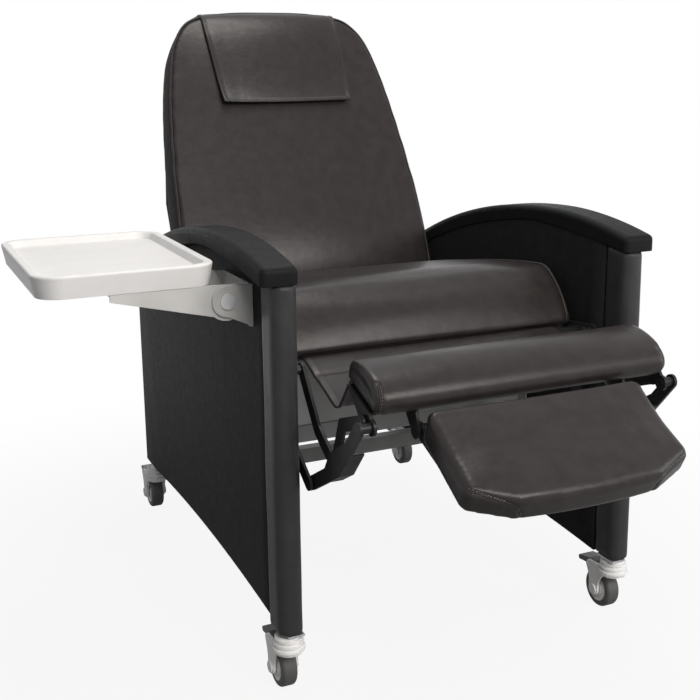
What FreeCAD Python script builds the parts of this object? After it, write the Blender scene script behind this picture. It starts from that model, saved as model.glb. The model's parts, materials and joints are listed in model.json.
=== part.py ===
"""A reclining clinic chair on casters, with an open legrest linkage and a folding side tray.

X runs across the chair, positive to the sitter's left. Y runs from front to rear, Z is up.
Side-view points are (y, z) pairs, from the armrests' front faces and from the floor.
Everything is drawn half reclined, with the legrest out and the tray level.
"""
import FreeCAD
import Part
import math
import os

os.makedirs("parts", exist_ok=True)
V = FreeCAD.Vector

# Overall sizes
OVERALL_WIDTH = 750.0
PANEL_DEPTH = 943.0
ARM_HEIGHT = 737.0
BACK_LENGTH = 721.0
SEAT_DEPTH = 512.0

# Running and seating clearances
FIT = 0.08
SOFT_GAP = 0.3
LAYER_GAP = 2.0
HEAD_GAP = 0.2

# Armrests
ARM_WIDTH = 64.0
ARM_THICK = 28.0
ARM_RISE = 26.0
ARM_PEAK_Y = 230.0
ARM_UNDER_PEAK_Y = 300.0
ARM_LENGTH = 862.0
ARM_REAR_DROP = 137.0
ARM_UNDER_RISING = 17.0
ARM_UNDER_PEAK = 24.0
ARM_UNDER_FALL_LENGTH = 257.0
ARM_UNDER_FALLING = 22.0
ARM_FALL_LENGTH = 310.0
ARM_FALLING = 12.0
ARM_REAR_RAKE = 10.0
ARM_EDGE = 11.0

# Side panels and front posts
PANEL_THICK = 33.0
POST_THICK = 45.0
POST_DEPTH = 60.0
POST_ROUND = 20.0
POST_PROUD = 2.0
FOOT_Z = 115.0
PANEL_ARCH = 16.0
REAR_FOOT_DEPTH = 85.0
PANEL_REAR_DROP = 50.0

# Steel gauges and pivots
PLATE_T = 6.0
LINK_T = 5.0
PIN_R = 5.0
HEAD_R = 9.0
HEAD_T = 1.3
LINK_R = 12.0
LOOSE = 4.2
BOLT_HEAD_R = 8.0
BOLT_HEAD_T = 4.0
EAR_R = 13.0

# Legrest pivots in the side view, with the legrest out
SEAT_PIVOT = (540.0, 450.0)
REAR_PIVOT = (163.0, 480.0)
KNEE = (19.0, 372.0)
CALF_PIVOT = (-165.0, 520.0)
CONTROL_SHARE = 0.468
CONTROL_END = (-46.1, 432.0)
LIFT_PIVOT = (-144.3, 523.4)
LEG_PIVOT = (-160.0, 503.0)
FRONT_ELBOW = (-88.0, 432.0)
LIP_T = 3.0
LIP_DEPTH = 20.0

# Seat
SEAT_FRONT = (128.0, 556.0)
SEAT_RIDGE_IN = 84.0
SEAT_RIDGE_UP = 108.0
SEAT_SLOPE = 0.138
SEAT_TOP_FALL = 72.0
SEAT_CROWN = 9.0
SEAT_FRONT_BULGE = 22.0
DECK_T = 12.0
DECK_SETBACK = 40.0
FRONT_PLATE_T = 3.0
FRONT_PLATE_DROP = 118.0

# Back, measured along its lean from the back hinge
BACK_LEAN = math.radians(26.0)
BACK_PIVOT_BEHIND_SEAT = 95.0
BACK_PIVOT_Z = 470.0
BACK_START = 50.0
BACK_FRONT = 96.0
BACK_THICK = 105.0
BACK_CROWN = 20.0
BACK_PANEL_T = 12.0
BACK_SIDE_PLAY = 5.0
FLAP_DROP = 239.0
FLAP_REAR_DROP = 60.0
FLAP_HALF_TOP = 165.0
FLAP_HALF_BOTTOM = 155.0
FLAP_T = 4.0
PUSH_BAR_R = 11.0
PUSH_BAR_HALF = 170.0
PUSH_BAR_OUT = 62.0
PUSH_BAR_U = 560.0

# Calf and leg pads
CALF_REAR_TOP = (-84.0, 611.0)
CALF_SLOPE = math.radians(18.0)
CALF_LENGTH = 105.0
CALF_THICK = 43.0
LEG_REAR_TOP = (-199.0, 541.0)
LEG_SLOPE = math.radians(30.0)
LEG_LENGTH = 188.0
LEG_THICK = 45.0
LEG_HALF = 198.0
LEG_SIDE = 150.0
LEG_MITRE_END = 182.0
LEG_MITRE_HALF = 126.0
LEG_CORNER = 18.0
LEG_ROLL = 15.0
LEG_UNDER_ROLL = 7.0
LEG_LEDGE = 45.0
LEG_FOOT = 80.0
PAD_EDGE = 12.0
APRON_T = 3.0
APRON_LOW = (-12.0, 507.0)

# Cross tubes
TUBE_HIGH = 33.0
TUBE_DEEP = 26.0
TUBE_WALL = 2.5
UPPER_TUBE = (345.0, 342.0)
LOWER_TUBE = (600.0, 196.0)
TUBE_FLANGE = 84.0
FLANGE_T = 4.0

# Tray
TRAY_WIDTH = 294.0
TRAY_LENGTH = 410.0
TRAY_THICK = 37.0
TRAY_TOP_Z = 730.0
TRAY_FRONT_Y = 123.0
TRAY_FROM_ARM = 25.0
TRAY_CORNER = 45.0
TRAY_LIP = 15.0
TRAY_RECESS = 12.0
TRAY_DRAFT = 7.0
TRAY_PIVOT_Z = 665.0
TRAY_PIVOT_OUT = 13.0
TRAY_PIN_R = 8.0
TRAY_LOBE = 33.0
TRAY_ARM_SETBACK = 8.0
TRAY_ARM_PITCH = 130.0
TRAY_ARM_LENGTH = 190.0
TRAY_ARM_T = 4.0
TRAY_EAR_R = 26.0
TRAY_EAR_GAP = 0.5
TRAY_HEAD_T = 3.0

# Casters
CASTER_FRONT_Y = 24.0
CASTER_REAR_Y = 895.0
WHEEL_R = 37.5
TYRE_WIDTH = 30.0
HUB_R = 26.0
TRAIL = 30.0
AXLE_R = 6.0
STEM_R = 6.0
CAP_R = 28.0
FORK_T = 5.0
FORK_PLAY = 2.5
FORK_BOSS_R = 13.0
CAP_TOP_GAP = 3.0
STEM_PLATE_T = 3.0
STEM_PLATE_HALF = 24.0
PANEL_INSET = 2.0
CROWN_T = 6.0
AXLE_NUT_T = 3.0
PEDAL_LENGTH = 46.0
PEDAL_PIN_R = 2.5
PEDAL_HINGE_BEHIND = 12.0
PEDAL_HINGE_UP = 6.0

# Cushion sections: share of the half width, then the profile's scale from front to rear and in height
CUSHION_ENDS = (
    (-1.0, 0.965, 0.84),
    (-0.93, 0.99, 0.96),
    (-0.6, 1.0, 1.0),
    (0.0, 1.0, 1.0),
    (0.6, 1.0, 1.0),
    (0.93, 0.99, 0.96),
    (1.0, 0.965, 0.84),
)

# Layers across the chair, from the panel inwards
ARM_OUT = OVERALL_WIDTH / 2
ARM_IN = ARM_OUT - ARM_WIDTH
PANEL_IN = ARM_IN + 1.0
PANEL_OUT = PANEL_IN + PANEL_THICK
POST_OUT = PANEL_IN + POST_THICK
PLATE_IN = PANEL_IN - PLATE_T


def layer(number):
    """Inner and outer X of one layer of steel, counted inwards from the mechanism plate."""
    outer = PLATE_IN - LAYER_GAP - number * (LINK_T + LAYER_GAP)
    return outer - LINK_T, outer


RAIL = layer(0)
REAR_LINK = layer(1)
FRONT_LINK = layer(2)
CONTROL_LINK = layer(3)
LIFT_LINK = layer(4)
CALF_BRACKET = layer(5)
SEAT_HALF = RAIL[0] - LAYER_GAP
BACK_HALF = SEAT_HALF - BACK_SIDE_PLAY
CALF_HALF = CALF_BRACKET[1] - 1.0
APRON_HALF = CALF_BRACKET[0] - 6.0
LEG_ARM = (LEG_HALF - PAD_EDGE - LINK_T, LEG_HALF - PAD_EDGE)
BACK_PIVOT = (SEAT_FRONT[0] + SEAT_DEPTH + BACK_PIVOT_BEHIND_SEAT, BACK_PIVOT_Z)
CASTER_X = (PANEL_IN + POST_OUT) / 2
TRAY_IN = ARM_OUT + TRAY_FROM_ARM
TRAY_OUT = TRAY_IN + TRAY_WIDTH
TRAY_PIVOT_X = -(ARM_OUT + TRAY_PIVOT_OUT)
TRAY_ARM_YS = (TRAY_FRONT_Y + TRAY_ARM_SETBACK, TRAY_FRONT_Y + TRAY_ARM_SETBACK + TRAY_ARM_PITCH)
STEM_PLATE_LOW = FOOT_Z - STEM_PLATE_T
CAP_TOP = STEM_PLATE_LOW - CAP_TOP_GAP
CROWN_LOW = 2 * WHEEL_R + FORK_PLAY

# The control link stays parallel to the rear link: its pivots share one offset
CONTROL_SHIFT = (
    CONTROL_SHARE * (CALF_PIVOT[0] - KNEE[0]),
    CONTROL_SHARE * (CALF_PIVOT[1] - KNEE[1]),
)
CONTROL_PIVOT = (REAR_PIVOT[0] + CONTROL_SHIFT[0], REAR_PIVOT[1] + CONTROL_SHIFT[1])
CROSS_PIVOT = (KNEE[0] + CONTROL_SHIFT[0], KNEE[1] + CONTROL_SHIFT[1])

nodes = {}


def wire(place, start, *steps):
    """Closed wire: a step is an end point, or the middle and end points of an arc."""
    edges = []
    here = start
    for step in steps:
        if isinstance(step[0], tuple):
            middle, end = step
            edges.append(Part.Arc(place(*here), place(*middle), place(*end)).toShape())
        else:
            end = step
            edges.append(Part.LineSegment(place(*here), place(*end)).toShape())
        here = end
    if here != start:
        edges.append(Part.LineSegment(place(*here), place(*start)).toShape())
    return Part.Wire(edges)


def plate(across, start, *steps):
    """Plate standing in the side plane, between two X values."""
    low, high = across
    face = Part.Face(wire(lambda y, z: V(low, y, z), start, *steps))
    return face.extrude(V(high - low, 0, 0))


def pin(across, point, radius):
    """Round pin along X through a side-view point."""
    low, high = across
    return Part.makeCylinder(radius, high - low, V(low, *point), V(1, 0, 0))


def block(across, ys, zs):
    """Rectangular block between two values on each axis."""
    size = (across[1] - across[0], ys[1] - ys[0], zs[1] - zs[0])
    return Part.makeBox(*size, V(across[0], ys[0], zs[0]))


def fused(*shapes):
    """One solid from touching shapes, without the seams between them."""
    return shapes[0].multiFuse(list(shapes[1:])).removeSplitter()


def strip(across, radius, *points):
    """Stamped strip with round ends and elbows through side-view points."""
    shapes = [pin(across, point, radius) for point in points]
    for (y1, z1), (y2, z2) in zip(points, points[1:]):
        length = math.hypot(y2 - y1, z2 - z1)
        dy = radius * (z1 - z2) / length
        dz = radius * (y2 - y1) / length
        corners = ((y1 + dy, z1 + dz), (y2 + dy, z2 + dz), (y2 - dy, z2 - dz), (y1 - dy, z1 - dz))
        shapes.append(plate(across, *corners))
    return fused(*shapes)


def between(start, end, share):
    """Side-view point part of the way from one point to another."""
    return start[0] + share * (end[0] - start[0]), start[1] + share * (end[1] - start[1])


def elbow_lip(across, radius, start, elbow, end):
    """Lip turned inwards along the outer edge of a strip's elbow."""
    normals = []
    for (y1, z1), (y2, z2) in ((start, elbow), (elbow, end)):
        length = math.hypot(y2 - y1, z2 - z1)
        normals.append(((z1 - z2) / length, (y2 - y1) / length))
    first, last = normals
    spread = 1 + first[0] * last[0] + first[1] * last[1]
    mitre = ((first[0] + last[0]) / spread, (first[1] + last[1]) / spread)

    def edge(out):
        pairs = zip((start, elbow, end), (first, mitre, last))
        return [(y + out * ny, z + out * nz) for (y, z), (ny, nz) in pairs]

    return plate(across, *edge(radius), *reversed(edge(radius - LIP_T)))


def drilled(shape, across, radius, *points):
    """The shape with round holes along X at side-view points."""
    low, high = across
    for point in points:
        shape = shape.cut(pin((low - 1.0, high + 1.0), point, radius))
    return shape


def mirrored(shape):
    """The same shape on the other side of the chair."""
    return shape.mirror(V(0, 0, 0), V(1, 0, 0))


def add_pair(name, shape):
    """A left piece and its mirror image on the right."""
    nodes[name + "_left"] = shape
    nodes[name + "_right"] = mirrored(shape)


def lofted(wires):
    """Smooth solid through closed sections."""
    return Part.makeLoft(wires, True, False)


def flat_under(shape, *corners):
    """A cushion cut flat along the top edge of a side-view region below it."""
    reach = OVERALL_WIDTH / 2
    return shape.cut(plate((-reach, reach), *corners))


def along(origin, angle, s, t):
    """Side-view point s forward and down a slope and t square to it, upwards."""
    y = origin[0] - s * math.cos(angle) - t * math.sin(angle)
    z = origin[1] - s * math.sin(angle) + t * math.cos(angle)
    return y, z


def lean(u, n):
    """Side-view point u up the back from its hinge and n forward of it."""
    y = BACK_PIVOT[0] + u * math.sin(BACK_LEAN) - n * math.cos(BACK_LEAN)
    z = BACK_PIVOT[1] + u * math.cos(BACK_LEAN) + n * math.sin(BACK_LEAN)
    return y, z


def arm_under(drop):
    """Points of the armrest's underside, lowered by drop: front, middle, peak, middle, rear."""
    base = ARM_HEIGHT - ARM_THICK - drop
    return (
        (0.0, base),
        (ARM_UNDER_PEAK_Y / 2, base + ARM_UNDER_RISING),
        (ARM_UNDER_PEAK_Y, base + ARM_UNDER_PEAK),
        (ARM_UNDER_PEAK_Y + ARM_UNDER_FALL_LENGTH, base - ARM_UNDER_FALLING),
        (ARM_LENGTH, base - ARM_REAR_DROP),
    )


def make_armrests():
    """Arched moulded pads with rounded edges."""
    front, rising, peak, falling, rear = arm_under(0.0)
    top_front = (0.0, ARM_HEIGHT)
    top_rising = (ARM_PEAK_Y / 2, ARM_HEIGHT + ARM_RISE * 0.75)
    top_peak = (ARM_PEAK_Y, ARM_HEIGHT + ARM_RISE)
    top_falling = (ARM_PEAK_Y + ARM_FALL_LENGTH, ARM_HEIGHT - ARM_FALLING)
    top_rear = (ARM_LENGTH + ARM_REAR_RAKE, rear[1] + ARM_THICK)
    arm = plate(
        (ARM_IN, ARM_OUT),
        front,
        (rising, peak),
        (falling, rear),
        top_rear,
        (top_falling, top_peak),
        (top_rising, top_front),
    )
    soft_edges = []
    for edge in arm.Edges:
        box = edge.BoundBox
        highest = max(vertex.Z for vertex in edge.Vertexes)
        along_top = box.YLength > ARM_PEAK_Y / 2 and highest > top_peak[1] - 0.01
        round_front = box.YMax < 0.01 and highest > ARM_HEIGHT - 0.01
        if along_top or round_front:
            soft_edges.append(edge)
    add_pair("armrest", arm.makeFillet(ARM_EDGE, soft_edges))


def make_panels():
    """Upholstered side panels and their rounded front posts, under the armrests."""
    front, rising, peak, falling, rear = arm_under(SOFT_GAP)
    post_back = POST_DEPTH - POST_PROUD
    panel = plate(
        (PANEL_IN, PANEL_OUT),
        (0.0, FOOT_Z),
        (post_back, FOOT_Z),
        (((PANEL_DEPTH + post_back) / 2, FOOT_Z + PANEL_ARCH), (PANEL_DEPTH - REAR_FOOT_DEPTH, FOOT_Z)),
        (PANEL_DEPTH, FOOT_Z),
        (PANEL_DEPTH, rear[1] - PANEL_REAR_DROP),
        rear,
        (falling, peak),
        (rising, front),
    )
    behind_post = block((PANEL_IN, PANEL_OUT), (post_back, PANEL_DEPTH), (0.0, ARM_HEIGHT + ARM_RISE))
    add_pair("side_panel", panel.common(behind_post))
    under_arm = plate(
        (PANEL_IN, POST_OUT),
        (-POST_DEPTH, FOOT_Z),
        (peak[0], FOOT_Z),
        peak,
        (rising, front),
        (-POST_DEPTH, front[1]),
    )
    add_pair("front_post", post_blank().common(under_arm))


def post_blank():
    """Upright with two rounded front edges, taller than it ends up."""
    inner = PANEL_IN
    outer = POST_OUT
    front = -POST_PROUD
    rear = POST_DEPTH - POST_PROUD
    shape = block((inner, outer), (front, rear), (FOOT_Z, ARM_HEIGHT))
    uprights = [e for e in shape.Edges if e.BoundBox.ZLength > 1.0 and e.BoundBox.YMax < front + 1.0]
    return shape.makeFillet(POST_ROUND, uprights)


def make_base_steel():
    """Mechanism plates with the seat and back pivot pins, cross tubes and their bolts."""
    across = (PLATE_IN, PANEL_IN)
    low = SEAT_PIVOT[1] - 50.0
    high = BACK_PIVOT[1] + 42.0
    body = plate(
        across,
        (SEAT_PIVOT[0] - 75.0, low),
        (BACK_PIVOT[0] + 60.0, low + 12.0),
        (BACK_PIVOT[0] + 60.0, high - 14.0),
        (BACK_PIVOT[0], high),
        (SEAT_PIVOT[0] - 30.0, high - 12.0),
        (SEAT_PIVOT[0] - 75.0, SEAT_PIVOT[1] + 25.0),
    )
    pieces = [body]
    for point in (SEAT_PIVOT, BACK_PIVOT):
        pieces.append(pin((RAIL[0] - HEAD_GAP - HEAD_T, PLATE_IN + 1.0), point, PIN_R))
        pieces.append(pin((RAIL[0] - HEAD_GAP - HEAD_T, RAIL[0] - HEAD_GAP), point, HEAD_R))
    add_pair("mechanism_plate", fused(*pieces))
    spots = (
        (SEAT_PIVOT[0] + 80.0, low + 24.0),
        (SEAT_PIVOT[0] + 80.0, low + 80.0),
        (BACK_PIVOT[0] + 45.0, low + 26.0),
    )
    bolts = [pin((PLATE_IN - BOLT_HEAD_T, PLATE_IN), spot, BOLT_HEAD_R) for spot in spots]
    reach = PANEL_IN - FLANGE_T
    for name, centre in (("upper_cross_tube", UPPER_TUBE), ("lower_cross_tube", LOWER_TUBE)):
        nodes[name] = cross_tube(centre)
        for side in (-1.0, 1.0):
            spot = (centre[0] + side * (TUBE_FLANGE / 2 - 1.5 * BOLT_HEAD_R), centre[1])
            bolts.append(pin((reach - BOLT_HEAD_T, reach), spot, BOLT_HEAD_R))
    bolts += [mirrored(bolt) for bolt in bolts]
    nodes["frame_bolts"] = Part.makeCompound(bolts)


def cross_tube(centre):
    """Rectangular tube between the panels, with a bolting flange at each end."""
    y, z = centre
    reach = PANEL_IN - FLANGE_T

    def around(across, deep, high):
        return block(across, (y - deep / 2, y + deep / 2), (z - high / 2, z + high / 2))

    outer = around((-reach, reach), TUBE_DEEP, TUBE_HIGH)
    inner = around((-PANEL_IN, PANEL_IN), TUBE_DEEP - 2 * TUBE_WALL, TUBE_HIGH - 2 * TUBE_WALL)
    flange = around((reach, PANEL_IN), TUBE_FLANGE, TUBE_HIGH + 12.0)
    return fused(outer.cut(inner), flange, mirrored(flange))


def seat_under(y):
    """Height of the seat cushion's flat underside."""
    return SEAT_FRONT[1] - SEAT_SLOPE * (y - SEAT_FRONT[0])


def make_seat():
    """Cushion, deck, rails with the legrest pins, front plate and apron."""
    rear_y = SEAT_FRONT[0] + SEAT_DEPTH
    ridge = (SEAT_FRONT[0] + SEAT_RIDGE_IN, SEAT_FRONT[1] + SEAT_RIDGE_UP)
    rear_top = (rear_y, ridge[1] - SEAT_TOP_FALL)
    rear_low = (rear_y - 6.0, seat_under(rear_y - 6.0))
    chord = math.hypot(SEAT_RIDGE_IN, SEAT_RIDGE_UP)
    bulge = (
        (SEAT_FRONT[0] + ridge[0]) / 2 - SEAT_FRONT_BULGE * SEAT_RIDGE_UP / chord,
        (SEAT_FRONT[1] + ridge[1]) / 2 + SEAT_FRONT_BULGE * SEAT_RIDGE_IN / chord,
    )
    crown = ((ridge[0] + rear_top[0]) / 2, (ridge[1] + rear_top[1]) / 2 + SEAT_CROWN)
    rear_mid = (rear_y + 3.0, (rear_top[1] + rear_low[1]) / 2)
    centre = (SEAT_FRONT[0] + SEAT_DEPTH / 2, (crown[1] + seat_under(crown[0])) / 2)
    steps = ((bulge, ridge), (crown, rear_top), (rear_mid, rear_low))
    cushion = cushion_across(SEAT_HALF, centre, SEAT_FRONT, steps)
    ends = (SEAT_FRONT[0] - SEAT_RIDGE_IN, rear_y + SEAT_RIDGE_IN)
    below = SEAT_FRONT[1] - SEAT_RIDGE_UP - SEAT_TOP_FALL
    nodes["seat_cushion"] = flat_under(
        cushion,
        (ends[0], seat_under(ends[0])),
        (ends[1], seat_under(ends[1])),
        (ends[1], below),
        (ends[0], below),
    )

    deck_front = SEAT_FRONT[0] + DECK_SETBACK
    deck_rear = rear_y - 12.0
    drop = SOFT_GAP + DECK_T
    nodes["seat_deck"] = plate(
        (-RAIL[0], RAIL[0]),
        (deck_front, seat_under(deck_front) - SOFT_GAP),
        (deck_rear, seat_under(deck_rear) - SOFT_GAP),
        (deck_rear, seat_under(deck_rear) - drop),
        (deck_front, seat_under(deck_front) - drop),
    )
    top = seat_under(deck_front) - drop
    plate_y = (deck_front, deck_front + FRONT_PLATE_T)
    wall = block((-CALF_HALF, CALF_HALF), plate_y, (top - FRONT_PLATE_DROP, top - 1.0))
    flange = plate(
        (-CALF_HALF, CALF_HALF),
        (deck_front, top - 1.0),
        (deck_front, top),
        (deck_front + 40.0, seat_under(deck_front + 40.0) - drop),
        (deck_front + 40.0, seat_under(deck_front + 40.0) - drop - FRONT_PLATE_T),
        (deck_front, top - FRONT_PLATE_T),
    )
    nodes["seat_front_plate"] = fused(wall, flange)
    add_pair("seat_rail", seat_rail())
    calf_corner = along(CALF_REAR_TOP, CALF_SLOPE, 0.0, -CALF_THICK)
    tip = (calf_corner[0] + APRON_T / 2, calf_corner[1] - APRON_T * 0.7)
    tuck = SEAT_FRONT[0] + DECK_SETBACK - 8.0
    under = APRON_T / 2 + 0.6
    nodes["seat_apron"] = strip(
        (-APRON_HALF, APRON_HALF),
        APRON_T / 2,
        (tuck, seat_under(tuck) - under),
        (SEAT_FRONT[0], seat_under(SEAT_FRONT[0]) - under),
        APRON_LOW,
        tip,
    )


def cushion_across(half, centre, start, steps):
    """Cushion whose side profile is drawn in towards its ends."""
    wires = []
    for share, scale_y, scale_z in CUSHION_ENDS:
        def place(y, z, x=share * half, ky=scale_y, kz=scale_z):
            return V(x, centre[0] + ky * (y - centre[0]), centre[1] + kz * (z - centre[1]))
        wires.append(wire(place, start, *steps))
    return lofted(wires)


def seat_rail():
    """Stamped rail under the seat, hinged at its rear, with pins for the two legrest links."""
    nose = CONTROL_PIVOT
    plain = plate(
        RAIL,
        (nose[0] - 4.0, nose[1] + 15.0),
        (nose[0] + 90.0, seat_under(nose[0] + 90.0) + 4.0),
        (SEAT_PIVOT[0] + 10.0, seat_under(SEAT_PIVOT[0]) + 4.0),
        (SEAT_PIVOT[0] + 22.0, SEAT_PIVOT[1] - 8.0),
        (SEAT_PIVOT[0] - 20.0, SEAT_PIVOT[1] - 24.0),
        (REAR_PIVOT[0] + 130.0, REAR_PIVOT[1] - 20.0),
        (REAR_PIVOT[0] - 8.0, REAR_PIVOT[1] - 16.0),
        (REAR_PIVOT[0] - 20.0, REAR_PIVOT[1] + 14.0),
        (nose[0] + 10.0, nose[1] - 13.0),
    )
    rail = fused(plain, pin(RAIL, nose, 16.0), pin(RAIL, REAR_PIVOT, 18.0), pin(RAIL, SEAT_PIVOT, 24.0))
    rail = drilled(rail, RAIL, PIN_R + FIT, SEAT_PIVOT)
    return fused(
        rail,
        *rivet(RAIL, REAR_LINK, REAR_PIVOT),
        *rivet(RAIL, CONTROL_LINK, CONTROL_PIVOT),
    )


def rivet(carrier, turning, point):
    """Pin from one steel layer through another further in, with a spacer and an end head."""
    end = turning[0] - HEAD_GAP - HEAD_T
    parts = [pin((end, carrier[0] + 1.0), point, PIN_R), pin((end, end + HEAD_T), point, HEAD_R)]
    if carrier[0] - turning[1] > 2 * LAYER_GAP:
        parts.append(pin((turning[1] + HEAD_GAP, carrier[0]), point, PIN_R + 3.0))
    return parts


def make_linkage():
    """Rear, front, control and lift links of the legrest, left and right."""
    hole = PIN_R + FIT
    rear = strip(REAR_LINK, LINK_R, REAR_PIVOT, (REAR_PIVOT[0] - 72.0, REAR_PIVOT[1] - 62.0), KNEE)
    rear = drilled(rear, REAR_LINK, hole, REAR_PIVOT)
    add_pair("rear_link", fused(rear, *rivet(REAR_LINK, FRONT_LINK, KNEE)))

    below = between(FRONT_ELBOW, KNEE, 0.4)
    above = between(FRONT_ELBOW, CALF_PIVOT, 0.5)
    front = fused(
        strip(FRONT_LINK, LINK_R, KNEE, FRONT_ELBOW, CALF_PIVOT),
        strip(FRONT_LINK, LINK_R, below, CROSS_PIVOT, above),
        elbow_lip((FRONT_LINK[0] - LIP_DEPTH, FRONT_LINK[1]), LINK_R, below, FRONT_ELBOW, above),
    )
    front = drilled(front, FRONT_LINK, hole, KNEE)
    add_pair(
        "front_link",
        fused(
            front,
            *rivet(FRONT_LINK, CONTROL_LINK, CROSS_PIVOT),
            *rivet(FRONT_LINK, CALF_BRACKET, CALF_PIVOT),
        ),
    )

    elbow = (CONTROL_PIVOT[0] - 66.0, CONTROL_PIVOT[1] - 84.0)
    control = strip(CONTROL_LINK, LINK_R, CONTROL_PIVOT, elbow, CONTROL_END, CROSS_PIVOT)
    control = drilled(control, CONTROL_LINK, hole, CONTROL_PIVOT, CROSS_PIVOT)
    end = LIFT_LINK[0] - HEAD_GAP - HEAD_T
    slack = PIN_R + LOOSE
    add_pair(
        "control_link",
        fused(
            control,
            pin((end, CONTROL_LINK[0] + 1.0), CONTROL_END, PIN_R),
            pin((end, end + HEAD_T), CONTROL_END, slack + 4.0),
        ),
    )

    bow = (
        (LIFT_PIVOT[0] + CONTROL_END[0]) / 2 + 22.0,
        (LIFT_PIVOT[1] + CONTROL_END[1]) / 2 + 20.0,
    )
    lift = strip(LIFT_LINK, LINK_R - 1.0, LIFT_PIVOT, bow, CONTROL_END)
    lift = fused(lift, pin(LIFT_LINK, CONTROL_END, slack + 6.0))
    lift = drilled(lift, LIFT_LINK, hole, LIFT_PIVOT)
    add_pair("lift_link", drilled(lift, LIFT_LINK, slack, CONTROL_END))


def make_calf_rest():
    """Calf pad and the two formed brackets that hang under it."""
    low = -CALF_THICK

    def spot(s, t):
        return along(CALF_REAR_TOP, CALF_SLOPE, s, t)

    steps = (
        (spot(-6.0, low / 2), spot(0.0, -2.0)),
        (spot(CALF_LENGTH / 2, 7.0), spot(CALF_LENGTH - 8.0, -1.0)),
        (spot(CALF_LENGTH + 8.0, low / 2), spot(CALF_LENGTH - 4.0, low)),
    )
    pad = cushion_across(CALF_HALF, spot(CALF_LENGTH / 2, low / 2), spot(0.0, low), steps)
    far = 2 * CALF_LENGTH
    corners = (spot(-far, low), spot(far, low), spot(far, 2 * low), spot(-far, 2 * low))
    nodes["calf_pad"] = flat_under(pad, *corners)

    under = low - SOFT_GAP
    ends = (PAD_EDGE, CALF_LENGTH - PAD_EDGE)
    ear = fused(
        plate(
            CALF_BRACKET,
            spot(ends[0], under),
            spot(ends[1], under),
            (CALF_PIVOT[0] - EAR_R, CALF_PIVOT[1] - 4.0),
            (LIFT_PIVOT[0] + 10.0, LIFT_PIVOT[1] - 8.0),
        ),
        pin(CALF_BRACKET, CALF_PIVOT, EAR_R),
        pin(CALF_BRACKET, LIFT_PIVOT, EAR_R - 1.0),
    )
    ear = drilled(ear, CALF_BRACKET, PIN_R + FIT, CALF_PIVOT)
    lug = (LEG_ARM[1] + LAYER_GAP, LEG_ARM[1] + LAYER_GAP + LINK_T)
    flange = plate(
        (lug[0], CALF_BRACKET[1]),
        spot(ends[0], under),
        spot(ends[1], under),
        spot(ends[1], under - LINK_T),
        spot(ends[0], under - LINK_T),
    )
    tab = fused(
        plate(
            lug,
            spot(CALF_LENGTH * 0.3, under),
            spot(ends[1], under),
            (LEG_PIVOT[0] - EAR_R, LEG_PIVOT[1]),
            (LEG_PIVOT[0] + EAR_R, LEG_PIVOT[1]),
        ),
        pin(lug, LEG_PIVOT, EAR_R),
    )
    cap = (LIFT_LINK[1] + HEAD_GAP, LIFT_LINK[1] + HEAD_GAP + HEAD_T)
    lift_pin = pin((CALF_BRACKET[1] - 1.0, cap[1]), LIFT_PIVOT, PIN_R)
    lift_head = pin(cap, LIFT_PIVOT, HEAD_R)
    bracket = fused(ear, flange, tab, lift_pin, lift_head, *rivet(lug, LEG_ARM, LEG_PIVOT))
    add_pair("calf_bracket", bracket)


def make_leg_rest():
    """Leg pad with mitred front corners and its two side brackets."""
    def spot(s, t):
        return along(LEG_REAR_TOP, LEG_SLOPE, s, t)

    low = -LEG_THICK
    face = Part.Face(wire(
        lambda s, x: V(x, *spot(s, low)),
        (0.0, -LEG_HALF),
        (0.0, LEG_HALF),
        (LEG_SIDE, LEG_HALF),
        (LEG_MITRE_END, LEG_MITRE_HALF),
        ((LEG_LENGTH, 0.0), (LEG_MITRE_END, -LEG_MITRE_HALF)),
        (LEG_SIDE, -LEG_HALF),
    ))
    up = V(0, *spot(0.0, 0.0)) - V(0, *spot(0.0, low))
    pad = face.extrude(up)
    up.normalize()

    def rises(edge):
        return abs(edge.tangentAt(edge.FirstParameter).dot(up)) > 0.9

    def rim(level):
        base = V(0, *spot(0.0, level))
        return [edge for edge in pad.Edges if all(abs((v.Point - base).dot(up)) < 0.1 for v in edge.Vertexes)]

    pad = pad.makeFillet(LEG_CORNER, [edge for edge in pad.Edges if rises(edge)])
    pad = pad.makeFillet(LEG_ROLL, rim(0.0))
    pad = pad.makeFillet(LEG_UNDER_ROLL, rim(low))
    nodes["leg_pad"] = pad

    under = low - SOFT_GAP
    foot = LEG_FOOT
    arm = fused(
        plate(
            LEG_ARM,
            (LEG_PIVOT[0] - EAR_R / 2, LEG_PIVOT[1] + EAR_R * 0.8),
            spot(PAD_EDGE / 2, under),
            spot(foot, under),
            spot(foot - 2 * LINK_T, under - 1.5 * LINK_T),
            (LEG_PIVOT[0] + EAR_R / 2, LEG_PIVOT[1] - EAR_R * 0.8),
        ),
        pin(LEG_ARM, LEG_PIVOT, EAR_R),
    )
    arm = drilled(arm, LEG_ARM, PIN_R + FIT, LEG_PIVOT)
    ledge = plate(
        (LEG_ARM[0] - LEG_LEDGE, LEG_ARM[0]),
        spot(PAD_EDGE, under),
        spot(foot, under),
        spot(foot - LINK_T, under - LINK_T),
        spot(PAD_EDGE, under - LINK_T),
    )
    add_pair("leg_bracket", fused(arm, ledge))


def back_section(u, half, depth, crown, grow):
    """Plan section of the back cushion at one height, grown outwards by a margin."""
    w = half + grow
    f = depth[0] + grow
    r = depth[1] - grow

    def place(x, n):
        return V(x, *lean(u, n))

    mid = (f + r) / 2
    return wire(
        place,
        (6.0 - w, r),
        (w - 6.0, r),
        ((w, mid), (w - 3.0, f)),
        ((0.0, f + crown), (3.0 - w, f)),
        ((-w, mid), (6.0 - w, r)),
    )


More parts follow.
